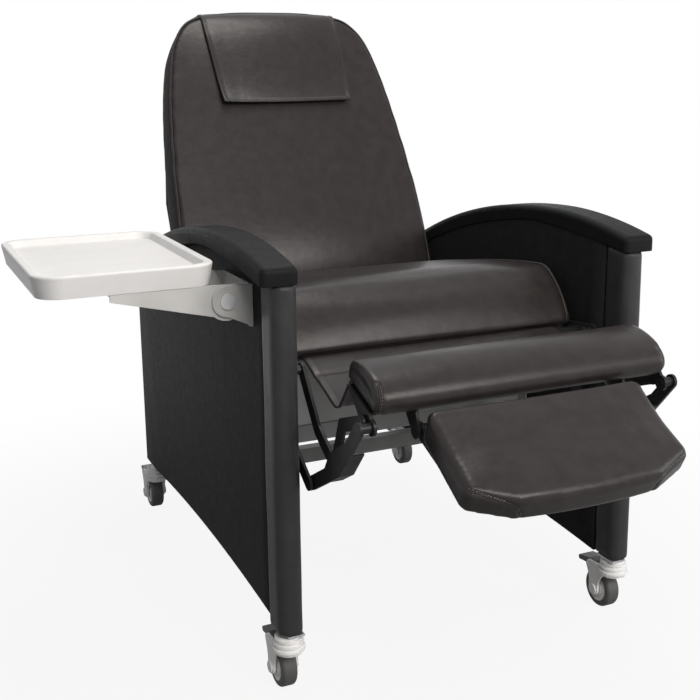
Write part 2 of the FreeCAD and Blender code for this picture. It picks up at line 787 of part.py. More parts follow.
def back_form(grow):
    """The back cushion's form: drawn in at the bottom, tapered and rounded at the top."""
    rear = BACK_FRONT - BACK_THICK
    top = BACK_LENGTH + grow
    stations = (
        (BACK_START, 0.97, -6.0, 5.0, 0.35),
        (BACK_START + 40.0, 1.0, 0.0, 0.0, 0.9),
        (BACK_START + 240.0, 1.0, 0.0, 0.0, 1.0),
        (top - 285.0, 0.955, 0.0, 0.0, 1.0),
        (top - 125.0, 0.868, 0.0, 0.0, 0.9),
        (top - 62.0, 0.795, -1.0, 1.0, 0.8),
        (top - 22.0, 0.685, -5.0, 5.0, 0.6),
        (top, 0.54, -14.0, 14.0, 0.4),
    )
    wires = []
    for u, share, ahead, behind, crown in stations:
        depth = (BACK_FRONT + ahead, rear + behind)
        wires.append(back_section(u, share * BACK_HALF, depth, crown * BACK_CROWN, grow))
    flat = rear - grow
    deep = flat - BACK_THICK
    far = 2 * BACK_LENGTH
    return flat_under(lofted(wires), lean(0.0, flat), lean(far, flat), lean(far, deep), lean(0.0, deep))


def make_back():
    """Back cushion, panel, headrest flap, hinge brackets and push bar."""
    nodes["back_cushion"] = back_form(0.0)
    rear = BACK_FRONT - BACK_THICK - SOFT_GAP

    def on_panel(x, u):
        return V(x, *lean(u, rear))

    low = BACK_START - 30.0
    high = BACK_LENGTH - FLAP_REAR_DROP - LAYER_GAP
    half = BACK_HALF - 8.0
    outline = wire(
        on_panel,
        (-half, low),
        (half, low),
        (half, BACK_LENGTH * 0.42),
        (half * 0.87, high - 96.0),
        ((half * 0.78, high - 30.0), (half * 0.54, high)),
        (-half * 0.54, high),
        ((-half * 0.78, high - 30.0), (-half * 0.87, high - 96.0)),
        (-half, BACK_LENGTH * 0.42),
    )
    out = V(0, *lean(0.0, -BACK_PANEL_T)) - V(0, *lean(0.0, 0.0))
    nodes["back_panel"] = Part.Face(outline).extrude(out)
    nodes["headrest_flap"] = headrest_flap()
    behind = rear - BACK_PANEL_T
    add_pair("back_bracket", back_bracket(behind))
    nodes["push_bar"] = push_bar(behind)


def headrest_flap():
    """Sheet draped over the top of the back, longer in front than behind."""
    shell = back_form(SOFT_GAP + FLAP_T).cut(back_form(SOFT_GAP))
    top = BACK_LENGTH + 40.0
    low = BACK_LENGTH - FLAP_DROP
    rear_low = BACK_LENGTH - FLAP_REAR_DROP
    flare = (FLAP_HALF_TOP - FLAP_HALF_BOTTOM) / 2

    def place(x, u):
        return V(x, *lean(u, BACK_FRONT / 3))

    forward = V(0, *lean(0.0, 2 * BACK_THICK)) - V(0, *lean(0.0, 0.0))
    half_low = FLAP_HALF_BOTTOM
    half_top = FLAP_HALF_TOP
    half_mid = half_top - flare
    upper = ((half_mid, rear_low), (half_top, top), (-half_top, top), (-half_mid, rear_low))
    front = Part.Face(wire(place, (-half_low, low), (half_low, low), *upper))
    rear = Part.Face(wire(place, *upper))
    window = front.extrude(forward).fuse(rear.extrude(forward * -1.0))
    return shell.common(window)


def back_bracket(behind):
    """Bent hinge bracket: an ear on the pivot and a flange on the rear of the back panel."""
    ear = plate(RAIL, lean(-8.0, 26.0), lean(60.0, 20.0), lean(150.0, behind), lean(150.0, behind - LINK_T),
                lean(0.0, behind - LINK_T), lean(-20.0, 0.0))
    ear = fused(ear, pin(RAIL, BACK_PIVOT, 28.0))
    ear = drilled(ear, RAIL, PIN_R + FIT, BACK_PIVOT)
    flange = plate((BACK_HALF - 60.0, RAIL[1]), lean(40.0, behind), lean(190.0, behind),
                   lean(190.0, behind - LINK_T), lean(40.0, behind - LINK_T))
    return fused(ear, flange)


def push_bar(behind):
    """Bent tube across the rear of the back, on two round flanges."""
    bend = 40.0

    def place(x, n):
        return V(x, *lean(PUSH_BAR_U, n))

    far = behind - PUSH_BAR_OUT
    half = PUSH_BAR_HALF
    cut = bend * (1.0 - math.sqrt(0.5))
    edges = [
        Part.LineSegment(place(-half, behind), place(-half, far + bend)).toShape(),
        Part.Arc(place(-half, far + bend), place(cut - half, far + cut), place(bend - half, far)).toShape(),
        Part.LineSegment(place(bend - half, far), place(half - bend, far)).toShape(),
        Part.Arc(place(half - bend, far), place(half - cut, far + cut), place(half, far + bend)).toShape(),
        Part.LineSegment(place(half, far + bend), place(half, behind)).toShape(),
    ]
    out = place(0.0, -1.0) - place(0.0, 0.0)
    ring = Part.Wire(Part.Circle(place(-half, behind), out, PUSH_BAR_R).toShape())
    bar = Part.Wire(edges).makePipeShell([ring], True, False)
    flanges = [Part.makeCylinder(24.0, 4.0, place(x, behind), out) for x in (-half, half)]
    return fused(bar, *flanges)


def rounded_rectangle(xs, ys, z, radius):
    """Horizontal rectangle with round corners, as one wire."""
    x1, x2 = xs
    y1, y2 = ys
    k = radius * (1.0 - math.sqrt(0.5))

    def place(x, y):
        return V(x, y, z)

    return wire(
        place,
        (x1 + radius, y1),
        (x2 - radius, y1),
        ((x2 - k, y1 + k), (x2, y1 + radius)),
        (x2, y2 - radius),
        ((x2 - k, y2 - k), (x2 - radius, y2)),
        (x1 + radius, y2),
        ((x1 + k, y2 - k), (x1, y2 - radius)),
        (x1, y1 + radius),
        ((x1 + k, y1 + k), (x1 + radius, y1)),
    )


def tray_ring(inset, z):
    """One outline of the tray, drawn in from its widest."""
    xs = (-TRAY_OUT + inset, -TRAY_IN - inset)
    ys = (TRAY_FRONT_Y + inset, TRAY_FRONT_Y + TRAY_LENGTH - inset)
    return rounded_rectangle(xs, ys, z, TRAY_CORNER - inset)


def make_tray():
    """Moulded tray with a raised lip, its folding arms, the fixed bracket and the hinge pin."""
    low = TRAY_TOP_Z - TRAY_THICK
    floor = TRAY_TOP_Z - TRAY_RECESS
    body = Part.makeLoft([tray_ring(TRAY_DRAFT, low), tray_ring(0.0, TRAY_TOP_Z)], True, True)
    hollow_rings = [tray_ring(TRAY_LIP + TRAY_RECESS / 2, floor), tray_ring(TRAY_LIP, TRAY_TOP_Z)]
    tray = body.cut(Part.makeLoft(hollow_rings, True, True))
    rim = [e for e in tray.Edges if e.BoundBox.ZMin > TRAY_TOP_Z - 0.01]
    nodes["tray_top"] = tray.makeFillet(TRAY_LIP / 4, rim)
    nodes["tray_arms"] = tray_arms(low - SOFT_GAP)
    make_tray_bracket()


def upright(thick, y, start, *steps):
    """Plate across the chair, from y towards the rear; its points are (x, z) pairs."""
    face = Part.Face(wire(lambda x, z: V(x, y, z), start, *steps))
    return face.extrude(V(0, thick, 0))


def on_tray_pivot(radius, y, thick):
    """Round piece on the tray's hinge line."""
    return Part.makeCylinder(radius, thick, V(TRAY_PIVOT_X, y, TRAY_PIVOT_Z), V(0, 1, 0))


def tray_arms(top):
    """Two gussets on the hinge pin, joined by the plate that carries the tray."""
    px = TRAY_PIVOT_X
    pz = TRAY_PIVOT_Z
    far = px - TRAY_ARM_LENGTH
    pieces = []
    for y in TRAY_ARM_YS:
        gusset = upright(
            TRAY_ARM_T,
            y,
            (px + 8.0, pz - TRAY_LOBE + 1.0),
            (px + 6.0, top),
            (far, top),
            (far, top - 3 * TRAY_ARM_T),
        )
        below_top = block((px - TRAY_LOBE, px + TRAY_LOBE), (y, y + TRAY_ARM_T), (pz - TRAY_LOBE, top))
        pieces += [gusset, on_tray_pivot(TRAY_LOBE, y, TRAY_ARM_T).common(below_top)]
    ys = (TRAY_ARM_YS[0], TRAY_ARM_YS[1] + TRAY_ARM_T)
    pieces.append(block((far, px - TRAY_LOBE), ys, (top - TRAY_ARM_T, top)))
    return fused(*pieces).cut(on_tray_pivot(TRAY_PIN_R + FIT, 0.0, 2 * TRAY_LENGTH))


def make_tray_bracket():
    """Bracket on the right panel with two ears outside the arms, and the pin through all four."""
    px = TRAY_PIVOT_X
    pz = TRAY_PIVOT_Z
    seat_x = -PANEL_OUT
    low = pz - TRAY_EAR_R - 20.0
    high = pz + TRAY_EAR_R
    first = TRAY_ARM_YS[0] - TRAY_EAR_GAP - TRAY_ARM_T
    last = TRAY_ARM_YS[1] + TRAY_ARM_T + TRAY_EAR_GAP + TRAY_ARM_T
    pieces = [block((seat_x - TRAY_ARM_T, seat_x), (first, last), (low, high))]
    for y in (first, last - TRAY_ARM_T):
        corners = ((seat_x, low), (seat_x, high), (px, high), (px - 18.0, pz - 18.0), (px, pz - TRAY_EAR_R))
        pieces.append(upright(TRAY_ARM_T, y, *corners))
        pieces.append(on_tray_pivot(TRAY_EAR_R, y, TRAY_ARM_T))
    press_hole = on_tray_pivot(TRAY_PIN_R + FIT / 2, 0.0, 2 * TRAY_LENGTH)
    nodes["tray_bracket"] = fused(*pieces).cut(press_hole)
    shaft = on_tray_pivot(TRAY_PIN_R, first, last - first)
    heads = [on_tray_pivot(TRAY_PIN_R + 5.0, y, TRAY_HEAD_T) for y in (first - TRAY_HEAD_T, last)]
    nodes["tray_pin"] = fused(shaft, *heads)


def revolved(points, centre, axis):
    """Solid of revolution: points are (radius, height) pairs along the axis from the centre."""
    side = V(0, 1, 0) if abs(axis.y) < 0.5 else V(0, 0, 1)

    def place(radius, height):
        return centre + side * radius + axis * height

    return Part.Face(wire(place, *points)).revolve(centre, axis, 360)


def make_casters():
    """Four swivel casters: stem on the base, fork with ribbed cap, wheel and brake pedal."""
    stems = []
    for end, y in (("front", CASTER_FRONT_Y), ("rear", CASTER_REAR_Y)):
        for hand, side in (("left", 1.0), ("right", -1.0)):
            x = side * CASTER_X
            name = end + "_" + hand
            stems.append(caster_stem(x, y))
            nodes["caster_fork_" + name] = caster_fork(x, y)
            hub, tyre = caster_wheel(x, y + TRAIL)
            nodes["caster_hub_" + name] = hub
            nodes["caster_tyre_" + name] = tyre
            nodes["brake_pedal_" + name] = brake_pedal(x, y)
    nodes["caster_stems"] = Part.makeCompound(stems)


def caster_stem(x, y):
    """Mounting plate under the panel with the swivel stem."""
    inner = PANEL_IN + PANEL_INSET
    outer = PANEL_OUT - PANEL_INSET
    across = (inner, outer) if x > 0 else (-outer, -inner)
    base = block(across, (y - STEM_PLATE_HALF, y + STEM_PLATE_HALF), (STEM_PLATE_LOW, FOOT_Z))
    foot = CROWN_LOW + 2.0
    stem = Part.makeCylinder(STEM_R, STEM_PLATE_LOW + 1.0 - foot, V(x, y, foot))
    collar = Part.makeCylinder(2 * STEM_R, CAP_TOP_GAP - HEAD_GAP, V(x, y, CAP_TOP + HEAD_GAP))
    return fused(base, stem, collar)


def pedal_hinge(y):
    """Side-view point of the brake pedal's hinge on the fork of a stem at y."""
    return y + TRAIL + PEDAL_HINGE_BEHIND, CROWN_LOW + PEDAL_HINGE_UP


def caster_fork(x, y):
    """Fork with three stepped ribs on its cap, two legs and the axle."""
    bore = STEM_R + FIT
    ribs_low = CROWN_LOW + CROWN_T
    rib = (CAP_TOP - ribs_low) / 3
    points = [(bore, CROWN_LOW), (CAP_R - 4.0, CROWN_LOW), (CAP_R - 4.0, ribs_low)]
    for number in range(3):
        low = ribs_low + number * rib
        out = CAP_R - 2.0 * number
        points += [(out, low), (out, low + rib * 0.6), (out - 4.0, low + rib * 0.6), (out - 4.0, low + rib)]
    points.append((bore, CAP_TOP))
    cap = revolved(points, V(x, y, 0), V(0, 0, 1))
    inner = TYRE_WIDTH / 2 + FORK_PLAY
    outer = inner + FORK_T
    axle_y = y + TRAIL
    legs = []
    for low in (x - outer, x + inner):
        legs.append(plate(
            (low, low + FORK_T),
            (y - 14.0, CROWN_LOW + 8.0),
            ((axle_y - 17.0, WHEEL_R + 24.0), (axle_y - FORK_BOSS_R, WHEEL_R)),
            ((axle_y, WHEEL_R - FORK_BOSS_R), (axle_y + FORK_BOSS_R, WHEEL_R)),
            ((axle_y + 15.0, WHEEL_R + 22.0), (axle_y + 23.0, CROWN_LOW)),
            ((axle_y + 23.0, CROWN_LOW + 10.0), (axle_y + 14.0, CROWN_LOW + 14.0)),
            (y + 4.0, CROWN_LOW + 16.0),
        ))
    bridge = block((x - outer, x + outer), (y - 12.0, y + 14.0), (CROWN_LOW, CROWN_LOW + 8.0))
    bridge = bridge.cut(Part.makeCylinder(bore, CAP_TOP, V(x, y, 0)))
    axle = pin((x - outer, x + outer), (axle_y, WHEEL_R), AXLE_R)
    nuts = []
    for low in (x - outer - AXLE_NUT_T, x + outer):
        nuts.append(pin((low, low + AXLE_NUT_T), (axle_y, WHEEL_R), AXLE_R + 4.0))
    hinge = pin((x - outer, x + outer), pedal_hinge(y), PEDAL_PIN_R)
    return fused(cap, bridge, *legs, axle, *nuts, hinge)


def caster_wheel(x, y):
    """Hub with a dished face and bore, and the tyre moulded round it."""
    half = TYRE_WIDTH / 2
    web = half - 5.0
    edge = half - 1.0
    seat = HUB_R - FIT
    bore = AXLE_R + FIT
    centre = V(x, y, WHEEL_R)
    near = [(bore, -half), (13.0, -half), (16.0, -web), (HUB_R - 4.0, -web), (seat, -edge)]
    far = [(radius, -height) for radius, height in reversed(near)]
    hub = revolved(near + far, centre, V(1, 0, 0))
    shoulder = WHEEL_R - 6.0
    bend = WHEEL_R - 1.8
    tyre = revolved(
        [
            (HUB_R, -edge),
            (shoulder, -edge),
            ((bend, 2.8 - half), (WHEEL_R, 7.0 - half)),
            (WHEEL_R, half - 7.0),
            ((bend, half - 2.8), (shoulder, edge)),
            (HUB_R, edge),
        ],
        centre,
        V(1, 0, 0),
    )
    return hub, tyre


def brake_pedal(x, y):
    """Foot pedal that presses down behind the wheel."""
    hinge = pedal_hinge(y)
    half = TYRE_WIDTH / 2 + 1.0
    across = (x - half, x + half)
    tip = hinge[0] + PEDAL_LENGTH
    lever = plate(
        across,
        (hinge[0] - 5.0, hinge[1] - 4.0),
        (tip - 8.0, hinge[1] - 7.0),
        ((tip, hinge[1] - 3.0), (tip - 6.0, hinge[1] + 2.0)),
        (hinge[0] + 12.0, hinge[1] + 7.0),
        (hinge[0] - 5.0, hinge[1] + 5.0),
    )
    return drilled(lever, across, PEDAL_PIN_R + FIT, hinge)


make_armrests()
make_panels()
make_base_steel()
make_seat()
make_linkage()
make_calf_rest()
make_leg_rest()
make_back()
make_tray()
make_casters()

whole = Part.makeCompound(list(nodes.values())).optimalBoundingBox(True, False)
X_MID = round((whole.XMin + whole.XMax) / 2, 1)
Y_MID = round((whole.YMin + whole.YMax) / 2, 1)
for name, shape in nodes.items():
    placed = shape.copy()
    placed.translate(V(-X_MID, -Y_MID, 0))
    placed.exportStep("parts/" + name + ".step")
    print(name, len(placed.Solids), placed.isValid(), round(placed.Volume))
print("origin in side view", X_MID, Y_MID, "box", whole)
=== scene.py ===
"""Looks of a medical recliner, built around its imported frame. Lengths are in metres."""

import json
import math

import bmesh
import bpy
import numpy as np
from mathutils import Matrix, Vector, noise
from mathutils.bvhtree import BVHTree
from mathutils.kdtree import KDTree


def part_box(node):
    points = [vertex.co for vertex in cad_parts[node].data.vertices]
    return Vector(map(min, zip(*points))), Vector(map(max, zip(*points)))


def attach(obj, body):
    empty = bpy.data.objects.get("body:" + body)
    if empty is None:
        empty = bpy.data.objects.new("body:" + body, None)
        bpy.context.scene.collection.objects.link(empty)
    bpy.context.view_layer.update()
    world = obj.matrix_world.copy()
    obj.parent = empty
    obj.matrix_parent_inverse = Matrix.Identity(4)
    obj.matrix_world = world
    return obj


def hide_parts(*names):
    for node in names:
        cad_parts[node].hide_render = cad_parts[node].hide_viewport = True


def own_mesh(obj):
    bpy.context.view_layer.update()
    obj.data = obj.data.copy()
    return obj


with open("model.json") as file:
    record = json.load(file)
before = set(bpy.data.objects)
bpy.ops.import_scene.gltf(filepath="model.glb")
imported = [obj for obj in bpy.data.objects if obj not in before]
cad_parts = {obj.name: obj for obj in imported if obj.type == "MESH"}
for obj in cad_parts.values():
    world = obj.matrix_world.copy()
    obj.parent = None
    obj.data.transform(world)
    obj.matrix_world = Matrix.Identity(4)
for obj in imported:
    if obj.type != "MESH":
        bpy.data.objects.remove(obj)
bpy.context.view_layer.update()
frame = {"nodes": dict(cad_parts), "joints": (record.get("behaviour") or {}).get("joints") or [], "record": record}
scene = bpy.context.scene
scene.view_settings.view_transform = "Standard"

# The chair's own frame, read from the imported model
JOINTS = {joint["name"]: joint for joint in frame["joints"]}
BACK_AXIS = Vector(JOINTS["back_recline"]["pos_m"])
SEAT_LOW, SEAT_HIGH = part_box("seat_cushion")
MID_X = (SEAT_LOW.x + SEAT_HIGH.x) / 2
LEAN = math.radians(26.0)
UP_BACK = Vector((0.0, math.sin(LEAN), math.cos(LEAN)))
OUT_BACK = Vector((0.0, -math.cos(LEAN), math.sin(LEAN)))
CALF_SLOPE = math.radians(18.0)
LEG_SLOPE = math.radians(30.0)
SIDES = (("left", 1.0), ("right", -1.0))
FRONT_Y = BACK_AXIS.y - 0.735
CALF_TOP = Vector(JOINTS["calf"]["pos_m"]) + Vector((0.0, 0.081, 0.091))
LEG_TOP = Vector(JOINTS["leg"]["pos_m"]) + Vector((0.0, -0.039, 0.038))

# Meshes
WELD = 1e-5
FINE_VOXEL = 0.005
BROAD_VOXEL = 0.007
BOW_POINTS = 24
ROLL_RINGS = 6
END_RINGS = (0.8, 0.5, 0.2)
OUTLINE_EASE = 3

# Covers blown out as cloth
PAD_SHRINK = 0.003
PAD_PRESSURE = 4.0
HOLD_STEPS = 4
COVER_STIFFNESS = 30.0
COVER_SHEAR = 20.0
COVER_BENDING = 2.0
COVER_QUALITY = 6
COVER_FRAMES = 20
EVENING = 14

# Welts, seams and stitches
WELT_R = 0.0026
WELT_STEP = 0.006
SEAM_R = 0.0011
SEAM_STEP = 0.004
STITCH_PITCH = 0.0046
STITCH_LENGTH = 0.0034
STITCH_R = 0.00045
STITCH_RISE = 0.35
STITCH_SIDES = 5
STITCH_PROFILE = ((-0.5, 0.35), (-0.3, 1.0), (0.3, 1.0), (0.5, 0.35))

# Seat cushion, with its side view as distance behind the front line and height
SEAT_FRONT_LOW = (0.128, 0.556)
SEAT_FRONT_BOW = (0.1605, 0.6175)
SEAT_RIDGE = (0.212, 0.662)
SEAT_CROWN = (0.426, 0.636)
SEAT_REAR_TOP = (0.640, 0.592)
SEAT_REAR_BOW = (0.643, 0.539)
SEAT_REAR_LOW = (0.634, 0.4864)
SEAT_ROLL = 0.010
SEAT_STEP = 0.0075
SEAT_DROOP = 0.005
SEAT_DROOP_FROM = 0.56
SEAT_DROOP_OVER = 0.08
SEAT_UNDER_SLOPE = math.atan(0.138)
SEAT_HOLD = 0.020
SEAT_SWELL = 0.007
SEAT_WELT_IN = 0.011
SEAT_WELT_HOLD = 0.014
SEAT_WELT_PRESS = (0.009, 0.0018)

# Back cushion
BACK_LENGTH = 0.721
BACK_REAR_N = -0.009
BACK_REAR_HOLD = 0.016
BACK_SWELL = 0.010
BACK_WELT_N = 0.090
BACK_WELT_HOLD = 0.012
BACK_WELT_PRESS = (0.010, 0.0020)
BACK_STITCH_IN = 0.007
BACK_EASE = 4

# Headrest flap
FLAP_FRONT = 0.239
FLAP_REAR = 0.060
FLAP_TOP_HALF = 0.165
FLAP_LOW_HALF = 0.155
FLAP_T = 0.0024
FLAP_COLUMNS = 67
FLAP_FRONT_ROWS = 43
FLAP_TURN_ROWS = 40
FLAP_REAR_ROWS = 3
FLAP_TURN_DOWN = 0.060
FLAP_TURN_N = 0.045
FLAP_RAY = 0.3
FLAP_SAG = 0.004
FLAP_STAND = 0.0035
FLAP_FREE_LIFT = 0.012
FLAP_FREE_DIP = 0.004
FLAP_CORNER = 0.25
FLAP_CORNER_LIFT = 0.0025

# Hems of both sheets
HEM = 0.009
HEM_LIFT = 0.0011
HEM_EDGE = 0.0006
HEM_GROOVE = 0.0008
HEM_GROOVE_WIDTH = 0.002

# Calf pad, with its side view as distance forward of its rear top edge and height above its face
CALF_LENGTH = 0.105
CALF_HALF = 0.268
CALF_REAR_LOW = (0.0, -0.043)
CALF_REAR_BOW = (-0.0065, -0.0215)
CALF_REAR_TOP = (0.0, -0.002)
CALF_CROWN = (CALF_LENGTH / 2, 0.007)
CALF_FRONT_TOP = (0.0975, -0.001)
CALF_FRONT_BOW = (0.1145, -0.021)
CALF_LIP = (0.1035, -0.047)
CALF_LIP_REAR = (0.0945, -0.0432)
CALF_ROLL = 0.014
CALF_STEP = 0.0055
CALF_LIP_DROP = 0.005
CALF_HOLD = 0.014
CALF_SWELL = 0.008

# Leg pad, whose rear top edge is filled out, carried back and raised
LEG_ROLL = 0.015
LEG_FILL_MOST = 1.4
LEG_FILL_POWER = 0.8
LEG_FACE_DEPTH = 0.030
LEG_FACE_FADE = 0.020
LEG_REAR_OUT = 0.007
LEG_REAR_OUT_OVER = 0.050
LEG_REAR_UP = 0.004
LEG_REAR_UP_OVER = 0.080
LEG_HOLD = 0.014
LEG_SWELL = 0.005
LEG_EVENING = 90

# Seams of the legrest pads: off the mid-plane, forward of the rear top edge, above the face
CALF_SEAM = ((0.258, 0.088, 0.002), (0.261, 0.101, -0.002), (0.262, 0.110, -0.014), (0.262, 0.108, -0.042))
CALF_SEAM_WIDTH = 0.012
CALF_SEAM_DEPTH = 0.0032
CALF_STITCH_IN = 0.0040
LEG_SEAM = (
    (0.1935, 0.1440, -0.003),
    (0.1850, 0.1525, -0.002),
    (0.1700, 0.1635, -0.003),
    (0.1520, 0.1720, -0.007),
    (0.1350, 0.1795, -0.014),
    (0.1220, 0.1860, -0.023),
    (0.1165, 0.1880, -0.040),
)
LEG_SEAM_WIDTH = 0.006
LEG_SEAM_DEPTH = 0.0018
LEG_STITCH_IN = (0.0022, 0.0035, 0.0020)

# Apron, with its side view from seat to calf pad as distance behind the front line and height
APRON_SIDE_VIEW = (
    (0.152, 0.5502),
    (0.128, 0.5532),
    (0.104, 0.5462),
    (0.072, 0.5336),
    (0.036, 0.5205),
    (0.006, 0.5102),
    (-0.007, 0.5070),
    (-0.015, 0.5070),
    (-0.024, 0.5140),
    (-0.038, 0.5310),
    (-0.053, 0.5495),
    (-0.0695, 0.5680),
)
APRON_T = 0.0022
APRON_STEP = 0.0042
APRON_COLUMNS = 105
APRON_HELD = 0.035
APRON_FREE_OVER = 0.03
APRON_BROAD_SLACK = 0.0016
APRON_FINE_SLACK = 0.0010
APRON_CREASE = 0.0018
APRON_CREASE_AT = 0.078
APRON_CREASE_SLANT = 0.012
APRON_CREASE_WIDTH = 0.0045
APRON_STITCH_FROM = 8
APRON_STITCH_IN = (0.0, 0.004, 0.006)

# Side panels, front posts and back board
PANEL_EDGE = 0.0035
BOARD_EDGE = 0.003
POST_RIPPLE_SCALE = 11.0
POST_RIPPLE = 0.0012

# Lamps: name, place from the mid-plane, size, power, colour, and whether reflections show it
LAMPS = (
    ("key", (-0.6, -2.5, 2.6), 1.0, 32.0, (1.0, 0.95, 0.90), True),
    ("front", (0.6, -2.5, 1.9), 1.1, 48.0, (1.0, 0.96, 0.93), True),
    ("top", (0.1, 0.1, 3.0), 0.9, 28.0, (1.0, 0.95, 0.92), True),
    ("overhead", (0.1, 1.6, 3.0), 2.0, 9.0, (0.94, 0.97, 1.0), True),
    ("side", (2.3, -1.8, 1.1), 1.4, 20.0, (0.98, 0.98, 1.0), True),
    ("rear", (1.6, 2.6, 0.45), 0.7, 40.0, (0.97, 0.98, 1.0), False),
)
AIM_HEIGHT = 0.55
AMBIENT = 0.20
FLOOR_HALF = 14.0
FLOOR_TONE = (0.34, 0.34, 0.34)


def add_piece(name, mesh):
    """A new object in the scene, in the frame's own place."""
    piece = bpy.data.objects.new(name, mesh)
    scene.collection.objects.link(piece)
    return piece


def mesh_from(name, points, faces):
    """A mesh from points and faces."""
    mesh = bpy.data.meshes.new(name)
    mesh.from_pydata([tuple(p) for p in points], [], faces)
    mesh.validate()
    return mesh


def coordinates(mesh):
    """The mesh's vertices as an array."""
    flat = np.empty(len(mesh.vertices) * 3)
    mesh.vertices.foreach_get("co", flat)
    return flat.reshape(-1, 3)


def place(mesh, points):
    """Moves the mesh's vertices to an array of points."""
    mesh.vertices.foreach_set("co", np.ascontiguousarray(points, dtype=float).ravel())
    mesh.update()


def normals(mesh):
    """The mesh's vertex normals as an array."""
    flat = np.empty(len(mesh.vertices) * 3)
    mesh.vertex_normals.foreach_get("vector", flat)
    return flat.reshape(-1, 3)


def baked(piece):
    """Turns the piece's modifiers into its mesh."""
    graph = bpy.context.evaluated_depsgraph_get()
    mesh = bpy.data.meshes.new_from_object(piece.evaluated_get(graph))
    old = piece.data
    piece.modifiers.clear()
    piece.data = mesh
    mesh.name = piece.name
    bpy.data.meshes.remove(old)
    return piece


def smooth_shaded(piece):
    """Smooth shading all over."""
    piece.data.polygons.foreach_set("use_smooth", [True] * len(piece.data.polygons))
    piece.data.update()
    return piece


def welded_copy(node, name):
    """A CAD node's shape as a new piece with its split vertices joined."""
    mesh = frame["nodes"][node].data.copy()
    mesh.materials.clear()
    bm = bmesh.new()
    bm.from_mesh(mesh)
    bmesh.ops.remove_doubles(bm, verts=bm.verts, dist=WELD)
    bm.to_mesh(mesh)
    bm.free()
    for name_of in [a.name for a in mesh.attributes if a.name.startswith("custom_normal")]:
        mesh.attributes.remove(mesh.attributes[name_of])
    return add_piece(name, mesh)


def soft_copy(node, name, voxel, rounds):
    """A CAD cushion's shape as an even mesh with its edges eased."""
    piece = welded_copy(node, name)
    remesh = piece.modifiers.new("remesh", "REMESH")
    remesh.mode = "VOXEL"
    remesh.voxel_size = voxel
    ease = piece.modifiers.new("ease", "SMOOTH")
    ease.iterations = rounds
    return baked(piece)


def inflate(piece, held, cap, rounds=EVENING):
    """Blows the cover out under pressure from a slightly smaller shape, no further than a cap."""
    mesh = piece.data
    rest = coordinates(mesh)
    loose = 1.0 - held
    start = rest - normals(mesh) * (PAD_SHRINK * loose)[:, None]
    place(mesh, start)
    group = piece.vertex_groups.new(name="held")
    for step in range(1, HOLD_STEPS + 1):
        share = step / HOLD_STEPS
        chosen = np.nonzero(np.abs(held - share) < 0.5 / HOLD_STEPS)[0]
        group.add([int(i) for i in chosen], share, "REPLACE")
    cloth = piece.modifiers.new("cloth", "CLOTH")
    settings = cloth.settings
    settings.use_pressure = True
    settings.uniform_pressure_force = PAD_PRESSURE
    settings.effector_weights.gravity = 0.0
    settings.vertex_group_mass = group.name
    settings.tension_stiffness = COVER_STIFFNESS
    settings.compression_stiffness = COVER_STIFFNESS
    settings.shear_stiffness = COVER_SHEAR
    settings.bending_stiffness = COVER_BENDING
    settings.quality = COVER_QUALITY
    cloth.collision_settings.use_collision = False
    cloth.point_cache.frame_start = 1
    cloth.point_cache.frame_end = COVER_FRAMES
    for number in range(1, COVER_FRAMES + 1):
        scene.frame_set(number)
    graph = bpy.context.evaluated_depsgraph_get()
    move = coordinates(piece.evaluated_get(graph).data) - start
    length = np.linalg.norm(move, axis=1)
    move *= np.minimum(1.0, cap / np.maximum(length, 1e-9))[:, None]
    piece.modifiers.clear()
    piece.vertex_groups.clear()
    scene.frame_set(1)
    place(mesh, rest + averaged(mesh, start + move - rest, rounds))


def averaged(mesh, field, rounds):
    """A field on the mesh's vertices, evened out over their neighbours."""
    flat = np.empty(len(mesh.edges) * 2, dtype=np.int32)
    mesh.edges.foreach_get("vertices", flat)
    first, last = flat.reshape(-1, 2).T
    count = len(mesh.vertices)
    ties = np.bincount(first, minlength=count) + np.bincount(last, minlength=count)
    for _ in range(rounds):
        total = np.empty_like(field)
        for axis in range(3):
            pulled = np.bincount(first, field[last, axis], count)
            pulled += np.bincount(last, field[first, axis], count)
            total[:, axis] = pulled / np.maximum(ties, 1)
        field = (field + total) / 2
    return field


def subdivided(piece):
    """One round of smooth subdivision."""
    piece.modifiers.new("subdivide", "SUBSURF").levels = 1
    return smooth_shaded(baked(piece))


def keep_in_box(piece, node):
    """Keeps a swollen piece within its CAD solid's box and a little over."""
    low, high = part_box(node)
    spare = 0.002
    points = coordinates(piece.data)
    place(piece.data, np.clip(points, np.array(low) - spare, np.array(high) + spare))


def surface(piece):
    """A tree that finds the nearest point and normal of a piece."""
    bm = bmesh.new()
    bm.from_mesh(piece.data)
    tree = BVHTree.FromBMesh(bm)
    bm.free()
    return tree


def section(piece, point, direction, spacing):
    """The closed outline where a plane cuts a piece, as evenly spaced points."""
    bm = bmesh.new()
    bm.from_mesh(piece.data)
    everything = bm.verts[:] + bm.edges[:] + bm.faces[:]
    cut = bmesh.ops.bisect_plane(bm, geom=everything, plane_co=point, plane_no=direction)
    edges = [item for item in cut["geom_cut"] if isinstance(item, bmesh.types.BMEdge)]
    around = {}
    for edge in edges:
        first, last = edge.verts
        around.setdefault(first, []).append(last)
        around.setdefault(last, []).append(first)
    loops = []
    unseen = set(around)
    while unseen:
        here = min(unseen, key=lambda v: v.index)
        loop = []
        while here is not None:
            unseen.discard(here)
            loop.append(here.co.copy())
            here = next((v for v in around[here] if v in unseen), None)
        loops.append(loop)
    bm.free()
    longest = max(loops, key=len)
    return resampled(np.array(longest), spacing, True)


